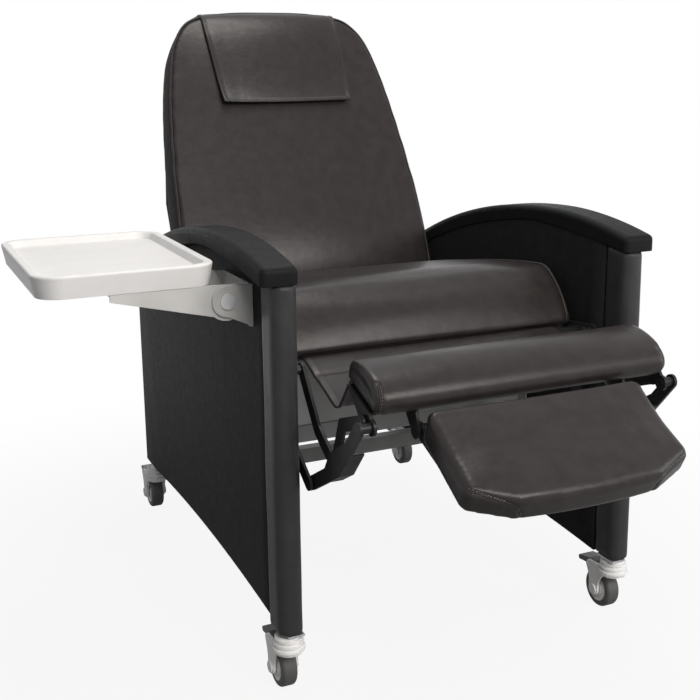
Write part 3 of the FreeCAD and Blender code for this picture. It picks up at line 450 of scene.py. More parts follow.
def resampled(points, spacing, closed):
    """Evenly spaced points along a path."""
    path = np.vstack([points, points[:1]]) if closed else np.asarray(points)
    steps = np.linalg.norm(np.diff(path, axis=0), axis=1)
    reach = np.concatenate([[0.0], np.cumsum(steps)])
    count = max(4, int(round(reach[-1] / spacing)))
    wanted = np.linspace(0.0, reach[-1], count + 1)
    if closed:
        wanted = wanted[:-1]
    return np.column_stack([np.interp(wanted, reach, path[:, k]) for k in range(3)])


def relaxed(points, rounds, closed):
    """A path with its small kinks eased out."""
    path = np.array(points)
    for _ in range(rounds):
        middle = (np.roll(path, 1, axis=0) + np.roll(path, -1, axis=0)) / 2
        eased = (path + middle) / 2
        if not closed:
            eased[0] = path[0]
            eased[-1] = path[-1]
        path = eased
    return path


def tube(name, points, radius, closed):
    """Round cord along a path, as a mesh."""
    data = bpy.data.curves.new(name, "CURVE")
    data.dimensions = "3D"
    data.bevel_depth = radius
    data.bevel_resolution = 2
    data.use_fill_caps = not closed
    line = data.splines.new("POLY")
    line.points.add(len(points) - 1)
    line.points.foreach_set("co", np.column_stack([points, np.ones(len(points))]).ravel())
    line.use_cyclic_u = closed
    curve = bpy.data.objects.new(name, data)
    scene.collection.objects.link(curve)
    graph = bpy.context.evaluated_depsgraph_get()
    mesh = bpy.data.meshes.new_from_object(curve.evaluated_get(graph))
    bpy.data.objects.remove(curve)
    bpy.data.curves.remove(data)
    return smooth_shaded(add_piece(name, mesh))


def press(piece, points, width, depth):
    """Draws the cover in along a sewn line."""
    tree = KDTree(len(points))
    for number, point in enumerate(points):
        tree.insert(point, number)
    tree.balance()
    spots = coordinates(piece.data)
    outward = normals(piece.data)
    for number in range(len(spots)):
        away = tree.find(spots[number])[2]
        if away < width:
            share = 0.5 + 0.5 * math.cos(math.pi * away / width)
            spots[number] -= outward[number] * (depth * share)
    place(piece.data, spots)


def stitches(name, points, tree, closed):
    """A row of thread stitches lying on a surface along a path."""
    path = resampled(points, STITCH_PITCH, closed)
    ahead = np.roll(path, -1, axis=0) - path
    if not closed:
        path = path[:-1]
        ahead = ahead[:-1]
    shape_points = []
    shape_faces = []
    sides = STITCH_SIDES
    last = len(STITCH_PROFILE) - 1
    for spot, step in zip(path, ahead):
        along = Vector(step).normalized()
        found, up, _, _ = tree.find_nearest(Vector(spot))
        if found is None:
            continue
        across = up.cross(along).normalized()
        base = len(shape_points)
        for share, size in STITCH_PROFILE:
            centre = found + up * (STITCH_R * STITCH_RISE) + along * (STITCH_LENGTH * share)
            for side in range(sides):
                turn = 2 * math.pi * side / sides
                out = across * math.cos(turn) + up * math.sin(turn)
                shape_points.append(centre + out * (STITCH_R * size))
        for ring in range(last):
            for side in range(sides):
                a = base + ring * sides + side
                b = base + ring * sides + (side + 1) % sides
                shape_faces.append((a, b, b + sides, a + sides))
        shape_faces.append(tuple(base + side for side in reversed(range(sides))))
        shape_faces.append(tuple(base + last * sides + side for side in range(sides)))
    return smooth_shaded(add_piece(name, mesh_from(name, shape_points, shape_faces)))


def lean(x, u, n):
    """Point at x from the mid-plane, u up the back from its hinge and n forward of it."""
    y = BACK_AXIS.y + u * math.sin(LEAN) - n * math.cos(LEAN)
    z = BACK_AXIS.z + u * math.cos(LEAN) + n * math.sin(LEAN)
    return Vector((MID_X + x, y, z))


def sloped(top, slope, x, s, t):
    """Point on a legrest pad: x off the mid-plane, s forward of its rear top edge, t above its face."""
    y = top.y - s * math.cos(slope) - t * math.sin(slope)
    z = top.z - s * math.sin(slope) + t * math.cos(slope)
    return Vector((MID_X + x, y, z))


def on_pad(points, top, slope):
    """How far points lie forward of a pad's rear top edge and above its face."""
    y = points[:, 1] - top.y
    z = points[:, 2] - top.z
    return -y * math.cos(slope) - z * math.sin(slope), -y * math.sin(slope) + z * math.cos(slope)


def from_pad(points, forward, up, top, slope):
    """The points moved to new places forward of a pad's rear top edge and above its face."""
    y = top.y - forward * math.cos(slope) - up * math.sin(slope)
    z = top.z - forward * math.sin(slope) + up * math.cos(slope)
    return np.column_stack([points[:, 0], y, z])


def sewn(piece, name, guide, width, depth, beside):
    """A seam pressed into a cover along a guide, with its cord and a row of stitches beside it."""
    tree = surface(piece)
    path = resampled(np.array([tree.find_nearest(point)[0] for point in guide]), SEAM_STEP, False)
    path = relaxed(np.array([tree.find_nearest(Vector(point))[0] for point in path]), 4, False)
    press(piece, path, width, depth)
    tree = surface(piece)
    path = np.array([tree.find_nearest(Vector(point))[0] for point in path])
    cord = tube(name, path, SEAM_R, False)
    thread = stitches(name + "_thread", path + np.array(beside), tree, False)
    return cord, thread


def ripple(piece, scale, amount):
    """Moves a cover in and out by a slow noise, as padding under it does."""
    points = coordinates(piece.data)
    outward = normals(piece.data)
    heights = np.array([noise.noise(Vector(point) * scale) for point in points])
    place(piece.data, points + outward * (amount * heights)[:, None])


# Materials


class Shader:
    """A principled material whose nodes are added by short calls."""

    def __init__(self, name, colour, rough, metallic=0.0):
        self.material = bpy.data.materials.new(name)
        self.material.use_nodes = True
        self.tree = self.material.node_tree
        self.shader = self.tree.nodes["Principled BSDF"]
        self.shader.inputs["Base Color"].default_value = (*colour, 1.0)
        self.shader.inputs["Roughness"].default_value = rough
        self.shader.inputs["Metallic"].default_value = metallic
        self.place = self.tree.nodes.new("ShaderNodeTexCoord").outputs["Object"]
        self.height = None

    def link(self, source, target):
        self.tree.links.new(source, target)

    def noise(self, scale, detail=3.0, stretch=None):
        node = self.tree.nodes.new("ShaderNodeTexNoise")
        node.inputs["Scale"].default_value = scale
        node.inputs["Detail"].default_value = detail
        source = self.place
        if stretch:
            mapping = self.tree.nodes.new("ShaderNodeMapping")
            mapping.inputs["Scale"].default_value = stretch
            self.link(source, mapping.inputs["Vector"])
            source = mapping.outputs["Vector"]
        self.link(source, node.inputs["Vector"])
        return node.outputs["Fac"]

    def cells(self, scale):
        node = self.tree.nodes.new("ShaderNodeTexVoronoi")
        node.inputs["Scale"].default_value = scale
        node.feature = "SMOOTH_F1"
        self.link(self.place, node.inputs["Vector"])
        return node.outputs["Distance"]

    def spread(self, source, low, high):
        """Stretches the middle of a noise to the range from low to high."""
        node = self.tree.nodes.new("ShaderNodeMapRange")
        node.inputs["From Min"].default_value = 0.3
        node.inputs["From Max"].default_value = 0.7
        node.inputs["To Min"].default_value = low
        node.inputs["To Max"].default_value = high
        self.link(source, node.inputs["Value"])
        return node.outputs["Result"]

    def colours(self, source, first, last):
        """Colour that varies between two tones with a noise."""
        node = self.tree.nodes.new("ShaderNodeMix")
        node.data_type = "RGBA"
        node.inputs[6].default_value = (*first, 1.0)
        node.inputs[7].default_value = (*last, 1.0)
        self.link(self.spread(source, 0.0, 1.0), node.inputs[0])
        self.link(node.outputs[2], self.shader.inputs["Base Color"])

    def roughness(self, source, low, high):
        self.link(self.spread(source, low, high), self.shader.inputs["Roughness"])

    def bump(self, source, strength, distance):
        node = self.tree.nodes.new("ShaderNodeBump")
        node.inputs["Strength"].default_value = strength
        node.inputs["Distance"].default_value = distance
        self.link(source, node.inputs["Height"])
        if self.height is not None:
            self.link(self.height, node.inputs["Normal"])
        self.height = node.outputs["Normal"]
        self.link(self.height, self.shader.inputs["Normal"])

    def rounded(self, radius):
        """Eased light along the sharp edges of plate and moulding."""
        node = self.tree.nodes.new("ShaderNodeBevel")
        node.samples = 4
        node.inputs["Radius"].default_value = radius
        self.height = node.outputs["Normal"]
        self.link(self.height, self.shader.inputs["Normal"])


def vinyl(name, dark, light, rough, grain, gloss):
    """Upholstery vinyl: fine pressed grain, soft mottling and a satin face."""
    look = Shader(name, dark, rough)
    look.colours(look.noise(38.0, 5.0), dark, light)
    look.roughness(look.noise(95.0, 4.0), rough - 0.03, rough + 0.04)
    look.bump(look.noise(9.0, 2.0), 0.10, 0.0060)
    look.bump(look.noise(70.0, 3.0), 0.22, 0.0016)
    look.bump(look.cells(760.0), grain, 0.0004)
    look.bump(look.noise(1400.0, 2.0), grain * 0.4, 0.0002)
    look.shader.inputs["Specular IOR Level"].default_value = gloss
    return look.material


def moulded(name, dark, light, rough, grain, gloss=0.5):
    """Moulded plastic or urethane: a fine spark grain and slight unevenness."""
    look = Shader(name, dark, rough)
    look.rounded(0.0012)
    look.colours(look.noise(26.0, 4.0), dark, light)
    look.roughness(look.noise(60.0, 4.0), rough - 0.04, rough + 0.05)
    look.bump(look.noise(1300.0, 2.0), grain, 0.0003)
    look.shader.inputs["Specular IOR Level"].default_value = gloss
    return look.material


def painted(name, dark, light, rough):
    """Paint on steel: orange peel, and dust that dulls it in patches."""
    look = Shader(name, dark, rough)
    look.rounded(0.0010)
    look.colours(look.noise(18.0, 5.0), dark, light)
    look.roughness(look.noise(45.0, 5.0), rough - 0.06, rough + 0.08)
    look.bump(look.noise(420.0, 2.0), 0.10, 0.0004)
    look.shader.inputs["Specular IOR Level"].default_value = 0.2
    return look.material


def plated(name, colour, rough, metallic):
    """Plated steel with a drawn grain."""
    look = Shader(name, colour, rough, metallic)
    look.rounded(0.0006)
    look.roughness(look.noise(160.0, 3.0, (1.0, 8.0, 1.0)), rough - 0.06, rough + 0.10)
    look.bump(look.noise(900.0, 2.0, (1.0, 6.0, 1.0)), 0.05, 0.0002)
    return look.material


def board(name):
    """Black-stained plywood with a long grain."""
    look = Shader(name, (0.022, 0.020, 0.018), 0.6)
    look.colours(look.noise(40.0, 5.0, (1.0, 0.08, 1.0)), (0.016, 0.0145, 0.013), (0.030, 0.027, 0.024))
    look.bump(look.noise(300.0, 3.0, (1.0, 0.08, 1.0)), 0.2, 0.0004)
    return look.material


# Two tones, roughness, grain and gloss of the broad surfaces
CUSHION_LOOK = ((0.0160, 0.0136, 0.0131), (0.0235, 0.0202, 0.0195), 0.31, 0.07, 0.21)
# Panel vinyl: its own dark tone, with a cool tint painted in for the reflection of the surroundings
PANEL_LOOK = ((0.0130, 0.0133, 0.0150), (0.0178, 0.0180, 0.0196), 0.55, 0.12, 0.035)
ARM_LOOK = ((0.0074, 0.0079, 0.0085), (0.0102, 0.0107, 0.0115), 0.50, 0.08, 0.06)
TRAY_LOOK = ((0.705, 0.705, 0.697), (0.735, 0.735, 0.727), 0.38, 0.05, 0.08)

LOOKS = {
    "vinyl_cushion": vinyl("cushion_vinyl", *CUSHION_LOOK),
    "vinyl_panel": vinyl("panel_vinyl", *PANEL_LOOK),
    "urethane": moulded("arm_urethane", *ARM_LOOK),
    "black_steel": painted("black_steel", (0.0085, 0.0085, 0.0088), (0.0140, 0.0140, 0.0145), 0.38),
    "grey_steel": painted("grey_steel", (0.37, 0.37, 0.365), (0.44, 0.44, 0.435), 0.45),
    "tray_steel": painted("tray_steel", (0.50, 0.50, 0.488), (0.56, 0.56, 0.548), 0.48),
    "zinc": plated("zinc_plate", (0.60, 0.60, 0.61), 0.38, 1.0),
    "push_bar_steel": painted("bar_enamel", (0.0130, 0.0130, 0.0135), (0.0180, 0.0180, 0.0185), 0.30),
    "deck_board": board("deck_plywood"),
    "tray_plastic": moulded("tray_plastic", *TRAY_LOOK),
    "caster_plastic": moulded("caster_nylon", (0.84, 0.84, 0.828), (0.88, 0.88, 0.868), 0.42, 0.06),
    "hub_plastic": moulded("hub_nylon", (0.74, 0.74, 0.728), (0.79, 0.79, 0.778), 0.44, 0.06),
    "tyre_rubber": moulded("tyre_rubber", (0.058, 0.058, 0.056), (0.078, 0.078, 0.075), 0.62, 0.16),
    "pedal_plastic": moulded("pedal_nylon", (0.075, 0.076, 0.078), (0.100, 0.100, 0.102), 0.48, 0.10),
}
THREAD = moulded("thread", (0.120, 0.112, 0.106), (0.165, 0.156, 0.150), 0.5, 0.2)
# Front posts: the panel vinyl made lighter and glossier, a painted light for the front light the posts catch
LIT_POST_VINYL = vinyl("post_vinyl_lit", (0.0310, 0.0305, 0.0317), (0.0390, 0.0385, 0.0397), 0.36, 0.12, 0.14)
# Boxing of the back: the cushion vinyl made darker and duller, a painted shade on the cushion's sides
SHADED_BOXING_VINYL = vinyl("boxing_vinyl_shaded", (0.0085, 0.0080, 0.0080), (0.0120, 0.0114, 0.0114), 0.60, 0.10, 0.03)
# Welts and seam cords: the cushion vinyl made lighter, a painted highlight along the sewn edges
LIT_WELT_VINYL = vinyl("welt_vinyl_lit", (0.026, 0.0235, 0.0220), (0.036, 0.0330, 0.0310), 0.36, 0.10, 0.15)


def finished(piece, body, slot_name, material=None):
    """Gives a piece its material, the slot's own look unless another is given, and its body."""
    piece.data.materials.clear()
    piece.data.materials.append(material or LOOKS[slot_name])
    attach(piece, body)
    return piece


def finish_cad_nodes():
    """New materials on the CAD nodes that stay in view."""
    for subpart in frame["record"]["subparts"]:
        node = frame["nodes"][subpart["node"]]
        node.data.materials.clear()
        node.data.materials.append(LOOKS[subpart["material_slot"]])


# Cushions


def under_plane(points, point, direction, depth):
    """1 for points on or below a plane, fading to 0 at a depth above it."""
    above = (points - np.array(point)) @ np.array(direction)
    return np.clip(1.0 - above / depth, 0.0, 1.0)


def band(points, point, direction, half):
    """1 for points on a plane, fading to 0 at a distance on either side."""
    away = np.abs((points - np.array(point)) @ np.array(direction))
    return np.clip(1.0 - away / half, 0.0, 1.0)


def bowed(first, middle, last):
    """Points along a bow from one side-view point to another through a middle one."""
    share = np.linspace(0.0, 1.0, BOW_POINTS)[:, None]
    first, middle, last = (np.array(point) for point in (first, middle, last))
    start = first * (1.0 - share) * (1.0 - 2.0 * share)
    return start + middle * 4.0 * share * (1.0 - share) + last * share * (2.0 * share - 1.0)


def bolster(name, outline, half, roll, spacing):
    """Cushion with one side outline carried across it and its ends rolled over."""
    ring = np.column_stack([np.zeros(len(outline)), outline])
    ring = relaxed(resampled(ring, spacing, True), OUTLINE_EASE, True)
    ahead = np.roll(ring, -1, axis=0) - np.roll(ring, 1, axis=0)
    out = np.column_stack([np.zeros(len(ring)), -ahead[:, 2], ahead[:, 1]])
    out /= np.linalg.norm(out, axis=1)[:, None]
    middle = ring.mean(axis=0)
    if np.sum((ring - middle) * out) < 0.0:
        out = -out
    stations = []
    for angle in np.linspace(math.pi / 2, 0.0, ROLL_RINGS):
        stations.append((half - roll + roll * math.sin(angle), roll * (1.0 - math.cos(angle))))
    inner = half - roll
    straight = np.linspace(inner, -inner, int(2 * inner / spacing))[1:-1]
    stations = stations + [(x, 0.0) for x in straight] + [(-x, inset) for x, inset in reversed(stations)]
    rings = []
    for x, inset in stations:
        spot = ring - out * inset
        spot[:, 0] = MID_X + x
        rings.append(spot)
    for share in END_RINGS:
        rings.insert(0, shrunk(rings[0], share))
        rings.append(shrunk(rings[-1], share))
    count = len(ring)
    points = [point for spot in rings for point in spot]
    faces = []
    for r in range(len(rings) - 1):
        for c in range(count):
            d = (c + 1) % count
            faces.append((r * count + c, r * count + d, (r + 1) * count + d, (r + 1) * count + c))
    faces.append(tuple(range(count)))
    faces.append(tuple((len(rings) - 1) * count + c for c in range(count)))
    mesh = mesh_from(name, points, faces)
    bm = bmesh.new()
    bm.from_mesh(mesh)
    bmesh.ops.recalc_face_normals(bm, faces=bm.faces)
    bm.to_mesh(mesh)
    bm.free()
    return add_piece(name, mesh)


def shrunk(ring, share):
    """A ring drawn in towards its middle."""
    middle = ring.mean(axis=0)
    return middle + (ring - middle) * share


def make_seat():
    """Seat cushion with boxed ends and a welt round each end."""
    outline = np.vstack([
        bowed(SEAT_FRONT_LOW, SEAT_FRONT_BOW, SEAT_RIDGE)[:-1],
        bowed(SEAT_RIDGE, SEAT_CROWN, SEAT_REAR_TOP)[:-1],
        bowed(SEAT_REAR_TOP, SEAT_REAR_BOW, SEAT_REAR_LOW),
    ])
    outline[:, 0] += FRONT_Y
    half = (SEAT_HIGH.x - SEAT_LOW.x) / 2
    piece = bolster("seat_pad", outline, half, SEAT_ROLL, SEAT_STEP)
    points = coordinates(piece.data)
    upper = np.clip((points[:, 2] - SEAT_DROOP_FROM) / SEAT_DROOP_OVER, 0.0, 1.0)
    droop = ((points[:, 0] - MID_X) / half) ** 4 * upper
    points[:, 2] -= SEAT_DROOP * droop
    place(piece.data, points)
    underside = Vector((0.0, math.sin(SEAT_UNDER_SLOPE), math.cos(SEAT_UNDER_SLOPE)))
    low = min(points @ np.array(underside))
    held = under_plane(points, underside * low, underside, SEAT_HOLD)
    ends = (SEAT_LOW.x + SEAT_WELT_IN, SEAT_HIGH.x - SEAT_WELT_IN)
    for x in ends:
        held = np.maximum(held, band(points, (x, 0.0, 0.0), (1.0, 0.0, 0.0), SEAT_WELT_HOLD))
    inflate(piece, held, SEAT_SWELL)
    keep_in_box(piece, "seat_cushion")
    subdivided(piece)
    welts = []
    for number, x in enumerate(ends):
        loop = relaxed(section(piece, (x, 0.0, 0.0), (1.0, 0.0, 0.0), WELT_STEP), OUTLINE_EASE, True)
        press(piece, loop, *SEAT_WELT_PRESS)
        welts.append(tube("seat_welt_" + str(number), loop, WELT_R, True))
    finished(piece, "seat", "vinyl_cushion")
    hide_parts("seat_cushion")
    for welt in welts:
        finished(welt, "seat", "vinyl_cushion", LIT_WELT_VINYL)


def make_back():
    """Back cushion, boxed round its edge, with a welt where the face meets the boxing."""
    piece = soft_copy("back_cushion", "back_pad", BROAD_VOXEL, BACK_EASE)
    points = coordinates(piece.data)
    on_welt = lean(0.0, 0.0, BACK_WELT_N)
    held = under_plane(points, lean(0.0, 0.0, BACK_REAR_N), OUT_BACK, BACK_REAR_HOLD)
    held = np.maximum(held, band(points, on_welt, OUT_BACK, BACK_WELT_HOLD))
    inflate(piece, held, BACK_SWELL)
    subdivided(piece)
    loop = relaxed(section(piece, on_welt, OUT_BACK, WELT_STEP), BACK_EASE, True)
    press(piece, loop, *BACK_WELT_PRESS)
    welt = tube("back_welt", loop, WELT_R, True)
    on_row = lean(0.0, 0.0, BACK_WELT_N - BACK_STITCH_IN)
    row = relaxed(section(piece, on_row, OUT_BACK, WELT_STEP), BACK_EASE, True)
    thread = stitches("back_thread", row, surface(piece), True)
    finished(thread, "back", "vinyl_cushion", THREAD)
    finished(piece, "back", "vinyl_cushion")
    # Faces behind the welt take the darker copy of the vinyl, painted shade on the boxing
    piece.data.materials.append(SHADED_BOXING_VINYL)
    centres = np.empty(len(piece.data.polygons) * 3)
    piece.data.polygons.foreach_get("center", centres)
    ahead = (centres.reshape(-1, 3) - np.array(on_welt)) @ np.array(OUT_BACK)
    piece.data.polygons.foreach_set("material_index", (ahead < 0.0).astype(np.int32))
    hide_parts("back_cushion")
    finished(welt, "back", "vinyl_cushion", LIT_WELT_VINYL)
    return piece


def make_calf():
    """Calf pad, a bolster with a lip along its lower front and a seam at each front corner."""
    outline = np.vstack([
        bowed(CALF_REAR_LOW, CALF_REAR_BOW, CALF_REAR_TOP)[:-1],
        bowed(CALF_REAR_TOP, CALF_CROWN, CALF_FRONT_TOP)[:-1],
        bowed(CALF_FRONT_TOP, CALF_FRONT_BOW, CALF_LIP),
        (CALF_LIP_REAR,),
    ])
    spots = [sloped(CALF_TOP, CALF_SLOPE, 0.0, along, up) for along, up in outline]
    side_view = [(spot.y, spot.z) for spot in spots]
    piece = bolster("calf_bolster", side_view, CALF_HALF, CALF_ROLL, CALF_STEP)
    points = coordinates(piece.data)
    out = Vector((0.0, -math.sin(CALF_SLOPE), math.cos(CALF_SLOPE)))
    low = min(points @ np.array(out)) + CALF_LIP_DROP
    held = under_plane(points, out * low, out, CALF_HOLD)
    inflate(piece, held, CALF_SWELL)
    subdivided(piece)
    for hand, side in SIDES:
        guide = [sloped(CALF_TOP, CALF_SLOPE, side * x, along, up) for x, along, up in CALF_SEAM]
        beside = (-side * CALF_STITCH_IN, 0.0, 0.0)
        cord, thread = sewn(piece, "calf_seam_" + hand, guide, CALF_SEAM_WIDTH, CALF_SEAM_DEPTH, beside)
        finished(cord, "calf_rest", "vinyl_cushion", LIT_WELT_VINYL)
        finished(thread, "calf_rest", "vinyl_cushion", THREAD)
    finished(piece, "calf_rest", "vinyl_cushion")
    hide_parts("calf_pad")


def make_leg():
    """Leg pad with a flat top, rolled edges and mitred front corners."""
    piece = soft_copy("leg_pad", "leg_bolster", FINE_VOXEL, 2)
    points = coordinates(piece.data)
    forward, up = on_pad(points, LEG_TOP, LEG_SLOPE)
    inside = (forward < LEG_ROLL) & (up > -LEG_ROLL)
    reach = np.maximum(np.maximum(LEG_ROLL - forward, up + LEG_ROLL), 1e-6)
    fill = np.where(inside, np.clip(LEG_ROLL / reach, 1.0, LEG_FILL_MOST) ** LEG_FILL_POWER, 1.0)
    forward = np.where(inside, LEG_ROLL + (forward - LEG_ROLL) * fill, forward)
    up = np.where(inside, -LEG_ROLL + (up + LEG_ROLL) * fill, up)
    face = np.clip((up + LEG_FACE_DEPTH) / LEG_FACE_FADE, 0.0, 1.0)
    forward -= LEG_REAR_OUT * face * np.clip(1.0 - forward / LEG_REAR_OUT_OVER, 0.0, 1.0)
    up += LEG_REAR_UP * face * np.clip(1.0 - forward / LEG_REAR_UP_OVER, 0.0, 1.0)
    place(piece.data, from_pad(points, forward, up, LEG_TOP, LEG_SLOPE))
    points = coordinates(piece.data)
    out = Vector((0.0, -math.sin(LEG_SLOPE), math.cos(LEG_SLOPE)))
    low = min(points @ np.array(out))
    held = under_plane(points, out * low, out, LEG_HOLD)
    inflate(piece, held, LEG_SWELL, LEG_EVENING)
    subdivided(piece)
    for hand, side in SIDES:
        guide = [sloped(LEG_TOP, LEG_SLOPE, side * x, along, up) for x, along, up in LEG_SEAM]
        beside = (-side * LEG_STITCH_IN[0], *LEG_STITCH_IN[1:])
        cord, thread = sewn(piece, "leg_seam_" + hand, guide, LEG_SEAM_WIDTH, LEG_SEAM_DEPTH, beside)
        finished(cord, "leg_rest", "vinyl_cushion", LIT_WELT_VINYL)
        finished(thread, "leg_rest", "vinyl_cushion", THREAD)
    finished(piece, "leg_rest", "vinyl_cushion")
    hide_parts("leg_pad")


# Sheets


def grid_sheet(name, rows):
    """A sheet through rows of points, one row after another."""
    count = len(rows[0])
    faces = []
    for r in range(len(rows) - 1):
        for c in range(count - 1):
            a = r * count + c
            faces.append((a, a + 1, a + count + 1, a + count))
    points = [point for row in rows for point in row]
    return add_piece(name, mesh_from(name, points, faces))


def thickened(piece, thickness):
    """Gives a sheet its thickness, half of it on either side."""
    solid = piece.modifiers.new("thickness", "SOLIDIFY")
    solid.thickness = thickness
    solid.offset = 0.0
    return smooth_shaded(baked(piece))


def make_flap(back):
    """Headrest flap draped over the top of the back, hemmed all round."""
    tree = surface(back)
    columns = FLAP_COLUMNS
    low_u = BACK_LENGTH - FLAP_FRONT
    turn_u = BACK_LENGTH - FLAP_TURN_DOWN
    spokes = []
    for u in np.linspace(low_u, turn_u, FLAP_FRONT_ROWS + 1)[:-1]:
        spokes.append((u, 0.0))
    for angle in np.linspace(0.0, math.pi, FLAP_TURN_ROWS):
        spokes.append((turn_u, angle))
    for u in np.linspace(turn_u, BACK_LENGTH - FLAP_REAR, FLAP_REAR_ROWS + 1)[1:]:
        spokes.append((u, math.pi))
    rows = []
    for u, angle in spokes:
        height = min(1.0, max(0.0, (u - low_u) / (FLAP_FRONT - FLAP_TURN_DOWN)))
        half = FLAP_LOW_HALF + (FLAP_TOP_HALF - FLAP_LOW_HALF) * height
        row = []
        for column in range(columns):
            share = 2.0 * column / (columns - 1) - 1.0
            sag = FLAP_SAG * (1.0 - share * share) * (1.0 - height) if angle == 0.0 else 0.0
            axis = lean(share * half, u - sag, FLAP_TURN_N)
            ray = OUT_BACK * math.cos(angle) + UP_BACK * math.sin(angle)
            hit = tree.ray_cast(axis + ray * FLAP_RAY, -ray)[0]
            stand = FLAP_STAND
            if angle == 0.0:
                free = (1.0 - height) ** 5
                stand += FLAP_FREE_LIFT * free - FLAP_FREE_DIP * free * (1.0 - share * share)
                stand += FLAP_CORNER_LIFT * max(0.0, -share - (1.0 - FLAP_CORNER)) / FLAP_CORNER
            row.append(hit + ray * stand)
        rows.append(row)
    net = eased_rows(rows)
    piece = grid_sheet("headrest_cover", net)
    hem_in(piece, net)
    thickened(piece, FLAP_T)
    inner = net[2:-1]
    left = (inner[::-1, 1] + inner[::-1, 2]) / 2
    right = (inner[:, -2] + inner[:, -3]) / 2
    thread = stitches("headrest_thread", np.vstack([left, inner[0, 2:-2], right]), surface(piece), False)
    finished(thread, "back", "vinyl_cushion", THREAD)
    finished(piece, "back", "vinyl_cushion")
    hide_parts("headrest_flap")


def eased_rows(rows):
    """Rows of a draped sheet with the sharp turns along its length eased."""
    net = np.array(rows)
    for _ in range(6):
        net[1:-1] = (net[:-2] + 2 * net[1:-1] + net[2:]) / 4
    return net


def hem_in(piece, rows):
    """Raises a doubled hem along a sheet's free edges."""
    net = np.array(rows)
    across = np.linalg.norm(np.diff(net, axis=1), axis=2)
    reach = np.concatenate([np.zeros((len(net), 1)), np.cumsum(across, axis=1)], axis=1)
    side = np.minimum(reach, reach[:, -1:] - reach)
    down = np.linalg.norm(np.diff(net, axis=0), axis=2)
    run = np.concatenate([np.zeros((1, net.shape[1])), np.cumsum(down, axis=0)], axis=0)
    edge = np.minimum(side, np.minimum(run, run[-1:] - run))
    raised = HEM_LIFT / (1.0 + np.exp((edge - HEM) / HEM_EDGE))
    lift = raised - HEM_GROOVE * np.exp(-(((edge - HEM) / HEM_GROOVE_WIDTH) ** 2))
    points = coordinates(piece.data)
    place(piece.data, points + normals(piece.data) * lift.ravel()[:, None])


def make_apron():
    """Vinyl apron that hangs in a slack fold between the seat and the calf pad."""
    low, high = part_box("seat_apron")
    half = (high.x - low.x) / 2
    path = resampled(np.array([(0.0, FRONT_Y + y, z) for y, z in APRON_SIDE_VIEW]), APRON_STEP, False)
    path = relaxed(path, 3, False)
    steps = np.linalg.norm(np.diff(path, axis=0), axis=1)
    run = np.concatenate([[0.0], np.cumsum(steps)])
    columns = APRON_COLUMNS
    rows = []
    for point, reach in zip(path, run):
        row = []
        for column in range(columns):
            x = half * (2.0 * column / (columns - 1) - 1.0)
            free = min(1.0, max(0.0, (reach - APRON_HELD) / APRON_FREE_OVER))
            free *= min(1.0, (run[-1] - reach) / APRON_FREE_OVER)
            slack = APRON_BROAD_SLACK * noise.noise(Vector((x * 9.0, reach * 14.0, 3.0)))
            slack += APRON_FINE_SLACK * noise.noise(Vector((x * 3.0 + 7.0, reach * 40.0, 1.0)))
            off = reach - APRON_CREASE_AT - APRON_CREASE_SLANT * x
            crease = APRON_CREASE * math.exp(-((off / APRON_CREASE_WIDTH) ** 2))
            row.append((MID_X + x, point[1], point[2] + free * (slack - crease)))
        rows.append(row)
    piece = grid_sheet("seat_apron_sheet", rows)
    hem_in(piece, rows)
    thickened(piece, APRON_T)
    tree = surface(piece)
    net = np.array(rows)
    threads = []
    for number, column in enumerate((1, columns - 2)):
        line = net[APRON_STITCH_FROM:, column] - np.array(APRON_STITCH_IN)
        threads.append(stitches("apron_thread_" + str(number), line, tree, False))
    for thread in threads:
        finished(thread, "seat", "vinyl_cushion", THREAD)
        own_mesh(thread)
    finished(piece, "seat", "vinyl_cushion")
    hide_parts("seat_apron")
    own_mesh(piece)


def make_panels():
    """Vinyl-covered side panels, front posts and back board."""
    for hand, _ in SIDES:
        panel = welded_copy("side_panel_" + hand, "side_panel_cover_" + hand)
        soften_edges(panel, PANEL_EDGE)
        post = soft_copy("front_post_" + hand, "front_post_cover_" + hand, FINE_VOXEL, 2)
        ripple(post, POST_RIPPLE_SCALE, POST_RIPPLE)
        subdivided(post)
        # The posts take the lighter copy of the panel vinyl, which paints in the light on them
        for piece, node, look in ((panel, "side_panel_", None), (post, "front_post_", LIT_POST_VINYL)):
            finished(piece, "base", "vinyl_panel", look)
            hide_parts(node + hand)
    piece = welded_copy("back_panel", "back_board_cover")
    soften_edges(piece, BOARD_EDGE)
    finished(piece, "back", "vinyl_panel")
    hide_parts("back_panel")


def soften_edges(piece, radius):
    """Rounds a covered panel's edges."""
    bevel = piece.modifiers.new("round", "BEVEL")
    bevel.width = radius
    bevel.segments = 3
    bevel.limit_method = "ANGLE"
    bevel.angle_limit = math.radians(40.0)
    bevel.harden_normals = False
    baked(piece)
    smooth_shaded(piece)


# Stage


